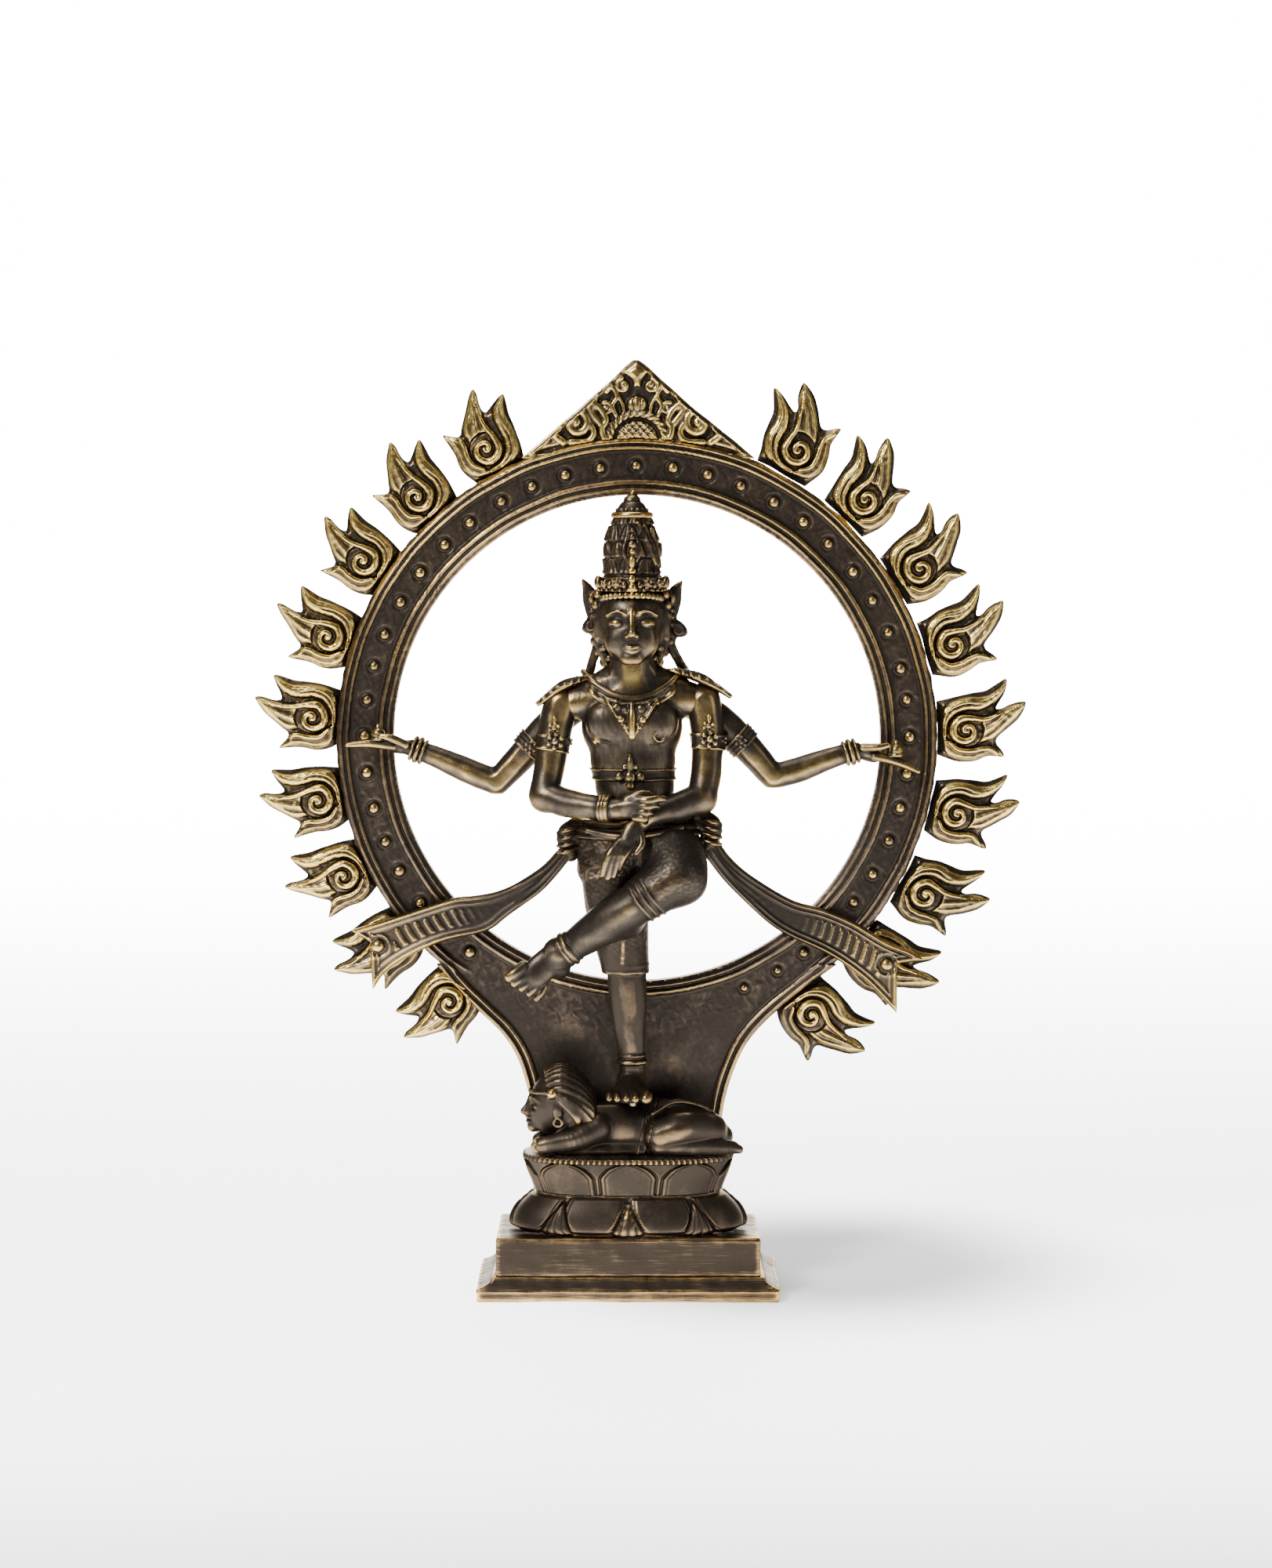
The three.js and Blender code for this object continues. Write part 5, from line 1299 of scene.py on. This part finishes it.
def model_front_arms():
    right = Clay((-45, -34, 190), (16, 6, 251), 0.4)
    right.strand([[-30.6, -5, 240.5, 7.3], [-33.2, -5.6, 230, 7.0], [-35.6, -7.4, 214, 6.4],
                  [-37.6, -9.4, 204.5, 6.0]])
    right.strand([[-37.4, -9.6, 203.6, 6.0], [-28, -15, 200.6, 5.9], [-18, -20, 199.6, 5.0],
                  [-9, -23.4, 198.8, 4.1]],
                 1.2)
    right.add(ball((-36.6, -8.8, 202.2), (6.8, 6.4, 6.0)), 2)
    right.strand([[-9, -23.4, 198.8, 4.0], [-4, -25.0, 199.4, 4.4], [0.5, -26.0, 200.2, 4.2]], 1.5,
                 flat=(0, 1, 0.25), thin=0.75)
    for k in range(4):
        z = 202.6 - 2.35 * k
        right.strand([[-0.5, -26.6, z + 0.4, 1.85], [4.0 - 0.6 * k, -28.4, z + 0.2, 1.9],
                      [8.4 - 1.7 * k, -27.6, z - 0.6 + 0.5 * (3 - k), 1.5],
                      [10.6 - 2.4 * k, -25.6, z - 1.6 + 0.7 * (3 - k), 1.3]], 0.55, per=3)
    right.strand([[-4.0, -25.6, 203.0, 1.8], [0.8, -26.2, 205.2, 1.6], [5.2, -26.0, 205.4, 1.3]], 0.6, per=3)
    for k, r in ((-1.5, 0.75), (0, 1.0), (1.5, 0.75)):   # bracelet
        right.add(hoop((-12.4 + k, -22.0 - 0.4 * k, 199.2), (1, -0.42, -0.06), 4.9, r), 0.2)
    right.carve(lambda x, y, z: 0.07 * wobble(x, y, z, 6, 111))

    def gold(x, y, z):
        on_fingers = step_up(-26.6, -28.4, y)
        on_upper_arm = step_up(5, 1, abs(z - 226)) * (y < -8)
        on_elbow = step_up(-30, -36, x) * step_up(212, 204, z)
        on_forearm = step_up(-26, -20, x) * step_up(202, 204.6, z)
        worn = 0.14 * on_fingers + 0.13 * on_upper_arm + 0.12 * on_elbow + 0.1 * on_forearm
        return 0.07 - 0.22 * step_up(-6, -1, x) + worn
    cast("front_right_arm", right.faces(), RUBBED, gold)

    left = Clay((-19, -34, 167), (38, 6, 252), 0.4)
    left.strand([[26.8, -5, 241.6, 7.3], [28.4, -5.6, 230, 7.0], [28.2, -7.6, 214, 6.5],
                 [26.4, -9.6, 203.6, 6.2]])
    left.strand([[26.0, -10, 202.6, 6.2], [17, -14.5, 199.4, 5.8], [9, -18.2, 197.2, 4.9],
                 [2.6, -20.8, 194.8, 4.2]],
                1.2)
    left.add(ball((25.6, -9.4, 201.6), (6.6, 6.2, 6.0)), 2)
    left.strand([[2.6, -20.8, 194.8, 4.1], [-1.2, -22.6, 190.6, 4.3], [-3.6, -23.8, 186.2, 4.0]], 1.5,
                flat=(0, 1, 0.2), thin=0.72)
    fingers = ((-6.8, -13.8, 172.6), (-5.0, -11.5, 171.4), (-3.2, -9.3, 172.2), (-1.5, -7.2, 175.0))
    for k, (bx, tx, tz) in enumerate(fingers):
        left.strand([[bx, -24.2, 186.0 - 0.4 * k, 1.85], [(bx + tx) / 2 - 0.9, -26.0, 180.4, 1.75],
                     [tx, -24.6, tz, 1.2]], 0.5, per=3)
    left.strand([[1.2, -23.0, 190.4, 1.8], [2.2, -25.0, 185.4, 1.6], [-0.2, -26.0, 181.6, 1.2]], 0.6, per=3)
    left.carve(lambda x, y, z: 0.07 * wobble(x, y, z, 6, 113))

    def gold(x, y, z):
        on_upper_arm = step_up(4, 0, abs(x - 26.6)) * (y < -10) * step_up(232, 208, z)
        on_fingers = step_up(-24.8, -26.4, y) * step_up(188, 176, z)
        return 0.08 - 0.24 * step_up(192, 186, z) + 0.14 * on_upper_arm + 0.12 * on_fingers
    cast("front_left_arm", left.faces(), RUBBED, gold)

    for side, clay, x, z, lean in (("right", right, -33.6, 225.6, 0.16), ("left", left, 28.6, 226.4, 0.06)):
        band = cuff(clay, (x, -6.5, z - 1.6), (lean, 0.1, 1), 6.4, 0.7, (-2.6, 2.6))
        front = front_of(clay, x + 0.6, z) - 0.9
        flower(band, x + 0.6, front, z, 2.7, 0.9)
        flower(band, x + 0.2, front + 0.2, z + 5.2, 1.9, 0.3)
        band.add(ball((x + 0.4, front + 0.6, z + 8.6), (1.0, 0.9, 1.6)), 0.2)
        for s in (-1, 1):
            flower(band, x + 0.6 + s * 5.2, front + 3.2, z - 0.4, 1.6, 0.2)
        gold = lambda x, y, z: 0.02 + 0.33 * step_up(front + 2.4, front + 0.2, y)
        cast(f"armlet_front_{side}", band.faces(), RUBBED, gold)


# upper arm, forearm, the two ends of the hand, and the small ball that the hand holds up
REAR_ARMS = {
    "right": ([[-24, 0.5, 240, 6.8], [-36, 0.5, 230.5, 6.7], [-47, 0.5, 218.5, 6.1],
               [-56.4, 0.5, 208.6, 5.4]],
              [[-57.4, 0.5, 208, 5.3], [-68, 1.5, 212.2, 5.3], [-80, 2.4, 217.4, 4.6],
               [-91, 3.4, 221.6, 3.9]],
              ((-98, 3.8, 222.6), (-118, 3.2, 223.4)), (-105.4, 228.2)),
    "left": ([[22, 0.5, 241, 6.8], [35, 0.5, 232, 6.7], [46, 0.5, 221, 6.1], [54.6, 0.5, 211, 5.4]],
             [[55.8, 0.5, 210.4, 5.3], [66, 1.5, 213.0, 5.3], [78, 2.4, 217.4, 4.6], [89, 3.4, 220.6, 3.9]],
             ((96, 3.8, 218.8), (114.6, 3.2, 212.6)), (105.6, 221.6)),
}


def model_rear_arms():
    for side, (upper, fore, hand, (ox, oz)) in REAR_ARMS.items():
        s = -1 if side == "right" else 1
        palm, tip, wrist = vec(hand[0]), vec(hand[1]), fore[-1]
        clay = Clay((min(upper[0][0], tip[0]) - 8, -9, 200), (max(upper[0][0], tip[0]) + 8, 12, 250), 0.42)
        clay.strand(upper).strand(fore, 1.2)
        clay.strand([wrist, [*palm, 4.3]], 1.4, flat=(0, 0.25, 1), thin=0.72)
        reach = tip - palm
        for k in range(4):
            start = palm + vec((0, -1, 0)) * (1.9 * (1.5 - k))
            droop = vec((0, 0, -1.1 + 0.5 * abs(k - 1.2)))
            clay.strand([[*(start + reach * 0.05), 1.75],
                         [*(start + reach * 0.55 + droop + vec((0, 0, 1.2))), 1.6],
                         [*(start + reach * (1.0 - 0.05 * k) + droop * 0.4), 1.0]], 0.4, per=3)
        clay.strand([[wrist[0] + s * 3, -0.6, wrist[2] + 1.6, 1.8],
                     [palm[0] + s * 2, -2.2, palm[2] + 3.6, 1.6],
                     [palm[0] + s * 6, -2.0, palm[2] + 4.4, 1.1]], 0.6, per=3)
        clay.add(ball((ox, 0.8, oz - 0.6), 2.8), 0.3).add(ball((ox, 0.8, oz + 2.4), (0.9, 0.9, 1.3)), 0.5)
        clay.add(hoop((ox, 0.8, oz - 2.6), (0, 0, 1), 2.3, 0.6), 0.3)
        along = vec(wrist[:3]) - vec(fore[-2][:3])
        along /= np.linalg.norm(along)
        for k, r in ((-2.2, 0.7), (0, 1.0), (2.2, 0.7)):   # bracelet
            clay.add(hoop(vec(wrist[:3]) - along * (2 - k), along, 4.7, r), 0.25)
        clay.carve(lambda x, y, z: 0.07 * wobble(x, y, z, 6, 117))
        far = abs(palm[0])
        on_hand = lambda x: step_up(far - 1, far + 8, abs(x))
        gold = lambda x, y, z: 0.04 + 0.12 * on_hand(x) + 0.05 * step_up(5, 1, abs(abs(x) - 70))
        cast(f"rear_{side}_arm", clay.faces(), RUBBED, gold)
        middle, elbow = vec(upper[1][:3]), vec(upper[2][:3])
        at = middle * 0.35 + elbow * 0.65
        band = cuff(clay, at, elbow - middle, 6.2, 0.6, (-2.7, -1.0, 0.8, 2.6))
        flower(band, at[0], front_of(clay, at[0], at[2]) - 0.7, at[2], 2.0, 0.4)
        cast(f"armlet_rear_{side}", band.faces(), RUBBED, 0.03)


# edges of the two scarves, from the hip to the two tips of the swallow tail, its notch and its boss
SCARVES = {
    "right": ([(-27.5, 183.5), (-31.3, 181.7), (-37.5, 174.8), (-44, 169.6), (-51.5, 165.0), (-59.1, 162.2),
               (-67.5, 160.8), (-75.5, 159.9), (-90.7, 155.1), (-107.1, 149.7), (-117.5, 146.6)],
              [(-24.5, 179.5), (-27.5, 176.5), (-34, 168.5), (-40.8, 161.5), (-52.8, 152.6), (-61.6, 146.3),
               (-78.1, 142.5), (-91.9, 136.8), (-103.3, 129.3), (-108.7, 121.6)], (-109.7, 141.9),
               (-106.2, 140.3)),
    "left": ([(28.5, 194), (31.6, 190.8), (34.9, 181.7), (42.3, 173), (51.8, 165.9), (64.5, 158.8),
              (76.6, 155.5),
              (88.8, 150.4), (102.2, 142.4), (112.2, 138.3), (118.3, 134.4)],
             [(24, 182), (28.2, 177.3), (34.5, 169), (41.6, 161.2), (52.4, 150.8), (61.9, 144.4),
              (75.3, 138.3),
              (85.4, 132.3), (95.5, 124.2), (106.9, 112.1)], (106.8, 132.9), (102.5, 132.6)),
}


def model_scarves():
    for side, (upper, lower, notch, boss) in SCARVES.items():
        top = [tuple(p) for p in smooth_path(upper, 4)]
        bottom = [tuple(p) for p in smooth_path(lower, 4)]
        outline = top + [notch] + bottom[::-1]
        xs, zs = zip(*outline)
        clay = Clay((min(xs) - 3, -10.5, min(zs) - 3), (max(xs) + 3, 9.9, max(zs) + 3), 0.45)
        x, z = clay.axes[0][:, None], clay.axes[2][None, :]
        d = inside_distance(x, z, outline)
        to_top, along_top = path_distance(x, z, top)
        to_low, along_low = path_distance(x, z, bottom)
        share = to_top / np.maximum(to_top + to_low, 0.1)   # 0 at the upper edge, 1 at the lower one
        along = along_top * (1 - share) + along_low * share
        out = step_up(28, 50, abs(x)) + 0 * z
        face = -5.4 + 10.2 * out - 1.8 * np.sin(share * math.pi) * (1 - out)
        inward = np.maximum(-d, 0)
        worked = step_up(44, 60, abs(x)) + 0 * z   # where the plain cloth turns into a worked border
        high = ridge(inward, 1.2, 0.65, 0.8 + 0.4 * worked) + ridge(inward, 3.1, 0.5, 0.5 + 0.3 * worked)
        high = high - 0.7 * worked * step_up(3.7, 4.3, inward)
        middle = step_up(0.30, 0.26, abs(share - 0.5)) * worked
        middle = middle * step_up(101, 99, abs(x)) * step_up(4.2, 4.8, inward)
        ribs = 1.5 * step_up(-0.35, 0.25, np.cos((along + 3.0 * (share - 0.5) ** 2) * 2 * math.pi / 3.9))
        high = high + middle * ribs * (0.5 + 0.5 * step_up(62, 84, abs(x)))
        high = high + 0.3 * np.cos(share * 24) * (1 - worked) * step_up(1.6, 3.0, inward)
        rho = np.hypot(x - boss[0], z - boss[1])
        high = np.maximum(high * step_up(2.6, 4.6, rho), 2.3 * rounded(rho / 2.7)) + ridge(rho, 4.7, 0.5, 0.5)
        high = high - 0.6 * step_up(0.5, 0.0, -d)
        clay.plate(d, face - high, face + 2.6)
        clay.d *= 0.85
        gold = lambda x, y, z: -0.32 + 0.5 * step_up(46, 98, abs(x)) - 0.2 * (y > 7.0)
        cast(f"scarf_{side}", clay.faces(), GOLDEN, gold)


# ---- fixings under the base ----------------------------------------------------------------------

SCREW_Y, HEAD_TOP = 14.25, 53.2
PEG_X, PEG_Y, NUT_Z = -1.7, -5, 51.2


def model_fixings():
    steel = brass("zinc_plate", lift=0.18, contrast=0.6, tint=(1.05, 1.15, 1.6))
    plated = lambda node, clay: cast(node, clay.faces(), steel, 0.3, name=f"{node}_plated")
    for side, screw_x in (("left", -16.6), ("right", 7.4)):
        clay = Clay((screw_x - 4, 10, 48), (screw_x + 4, 18.6, 66), 0.2)
        clay.add(rod((screw_x, SCREW_Y, HEAD_TOP - 0.5), (screw_x, SCREW_Y, 63.8), 1.45))
        x, y, z = clay.cells()
        x, y = x - screw_x, y - SCREW_Y
        r = np.hypot(x, y)
        thread = 0.18 * np.cos(z * 2 * math.pi / 0.9 - np.arctan2(y, x))
        head = np.maximum(np.maximum(r - 2.35, z - HEAD_TOP), HEAD_TOP - 2.3 - z)
        slot = np.maximum(abs(x) - 0.35, z - (HEAD_TOP - 1.5))
        clay.d = np.minimum(clay.d + thread, np.maximum(head, -slot)).astype(np.float32)
        plated(f"arch_screw_{side}", clay)
    clay = Clay((-6.4, -9, 46), (1.6, -1, 89), 0.25)
    clay.add(rod((PEG_X, PEG_Y, 48.9), (PEG_X, PEG_Y, 85.6), 2.55))
    x, y, z = clay.cells()
    thread = 0.2 * np.cos(z * 2 * math.pi / 1.1 - np.arctan2(y - PEG_Y, x - PEG_X)) * step_up(58, 56, z)
    clay.d = (clay.d + thread).astype(np.float32)
    plated("figure_peg", clay)
    clay = Clay((-8, -11, 48.5), (4.6, 1, 54.5), 0.25)
    x, y, z = clay.cells()
    x, y, z = x - PEG_X, y - PEG_Y, abs(z - NUT_Z)
    r, a = np.hypot(x, y), np.arctan2(y, x)
    flats = r * np.cos((a + math.pi / 6) % (math.pi / 3) - math.pi / 6) - 4.15
    bevel = r + z - 5.7
    clay.d = np.maximum(np.maximum(np.maximum(flats, bevel), z - 1.5), 2.8 - r).astype(np.float32)
    plated("peg_nut", clay)


model_foot()
model_block()
model_lotus()
model_arch()
model_flames()
model_pediment()
model_dwarf_head()
model_dwarf_body()
model_torso()
model_head()
model_crown()
model_ears()
model_leaves()
model_hips()
model_standing_leg()
model_raised_leg()
model_front_arms()
model_rear_arms()
model_scarves()
model_fixings()


# ---- studio --------------------------------------------------------------------------------------

def make_floor():
    """White paper that runs from under the statue up a wall far behind it, and glows with painted light."""
    rows = [(-6, 0), (1.6, 0)] + [(1.6 + 1.6 * math.sin(a),
                                   1.6 - 1.6 * math.cos(a)) for a in np.linspace(0.1, 1.57, 14)]
    rows.append((3.2, 6))
    points = [(x, y, z - 0.0002) for y, z in rows for x in (-9, 9)]
    faces = [(2 * i, 2 * i + 1, 2 * i + 3, 2 * i + 2) for i in range(len(rows) - 1)]
    mesh = bpy.data.meshes.new("paper")
    mesh.from_pydata(points, [], faces)
    mesh.polygons.foreach_set("use_smooth", np.ones(len(faces), bool))
    paper = bpy.data.objects.new("paper", mesh)
    bpy.context.scene.collection.objects.link(paper)
    m = bpy.data.materials.new("studio_paper")
    m.use_nodes = True
    nodes, links = m.node_tree.nodes, m.node_tree.links
    shader = next(n for n in nodes if n.type == "BSDF_PRINCIPLED")
    shader.inputs["Base Color"].default_value = (0.93, 0.93, 0.93, 1)
    shader.inputs["Roughness"].default_value = 0.95
    split = nodes.new("ShaderNodeSeparateXYZ")
    links.new(nodes.new("ShaderNodeTexCoord").outputs["Object"], split.inputs[0])

    def fade(axis, start, end, low, high):
        made = nodes.new("ShaderNodeMapRange")
        made.interpolation_type = "SMOOTHSTEP"
        for key, value in (("From Min", start), ("From Max", end), ("To Min", low), ("To Max", high)):
            made.inputs[key].default_value = value
        links.new(axis, made.inputs["Value"])
        return made.outputs[0]

    def times(a, b):
        made = nodes.new("ShaderNodeMath")
        made.operation = "MULTIPLY"
        links.new(a, made.inputs[0])
        links.new(b, made.inputs[1])
        return made.outputs[0]

    wide = nodes.new("ShaderNodeMath")
    wide.operation = "ABSOLUTE"
    links.new(split.outputs["X"], wide.inputs[0])
    # painted light: the paper glows, brightest far behind the statue, and fades towards the camera, to the
    # sides and up the wall
    painted_glow = times(fade(split.outputs["Y"], 0.1, 2.2, 4.0, 15.0),
                 fade(split.outputs["Y"], -0.52, -0.20, 0.02, 1.0))
    beam = nodes.new("ShaderNodeMath")   # painted light: the bright strip of paper widens away from the statue
    beam.operation = "MULTIPLY_ADD"
    beam.inputs[1].default_value = -0.21
    links.new(split.outputs["Y"], beam.inputs[0])
    links.new(wide.outputs[0], beam.inputs[2])
    painted_glow = times(painted_glow, fade(beam.outputs[0], 0.34, 0.62, 1.0, 0.03))
    painted_glow = times(painted_glow, fade(split.outputs["Z"], 1.2, 1.8, 1.0, 0.03))
    painted_shadow = nodes.new("ShaderNodeVectorMath")   # painted shade: the paper's emission is dimmed in a soft patch beside the statue
    painted_shadow.operation = "DISTANCE"
    painted_shadow.inputs[1].default_value = (0.078, 0.045, 0)
    links.new(nodes["Texture Coordinate"].outputs["Object"], painted_shadow.inputs[0])
    painted_glow = times(painted_glow, fade(painted_shadow.outputs["Value"], 0.045, 0.16, 0.04, 1.0))
    shader.inputs["Emission Color"].default_value = (1, 1, 1, 1)
    links.new(painted_glow, shader.inputs["Emission Strength"])
    mesh.materials.append(m)


def lamp(name, place, aim, size, watts, color=(1, 1, 1)):
    data = bpy.data.lights.new(name, "AREA")
    data.shape = "RECTANGLE"
    data.size, data.size_y = size
    data.energy = watts
    data.color = color
    light = bpy.data.objects.new(name, data)
    bpy.context.scene.collection.objects.link(light)
    light.location = place
    light.rotation_euler = (Vector(aim) - Vector(place)).to_track_quat("-Z", "Y").to_euler()


def make_studio():
    world = bpy.data.worlds.new("studio")
    world.use_nodes = True
    world.node_tree.nodes["Background"].inputs[0].default_value = (1, 1, 1, 1)
    world.node_tree.nodes["Background"].inputs[1].default_value = 0.1
    bpy.context.scene.world = world
    middle = (0, 0, 0.2)
    lamp("key", (-0.9, -1.1, 1.15), middle, (0.36, 0.5), 32)
    lamp("fill", (1.3, -0.7, 0.5), middle, (0.3, 0.9), 3)
    lamp("top", (-0.1, 0.1, 1.4), middle, (0.8, 0.5), 10)


def make_camera():
    camera = bpy.data.objects.new("camera", bpy.data.cameras.new("camera"))
    bpy.context.scene.collection.objects.link(camera)
    camera.data.lens = 75.6
    camera.data.sensor_width = 36
    camera.location = (-0.0011, -1.337, 0.3069)
    camera.rotation_euler = (math.radians(90 - 4.262), 0, 0)
    bpy.context.scene.camera = camera


make_floor()
make_studio()
make_camera()
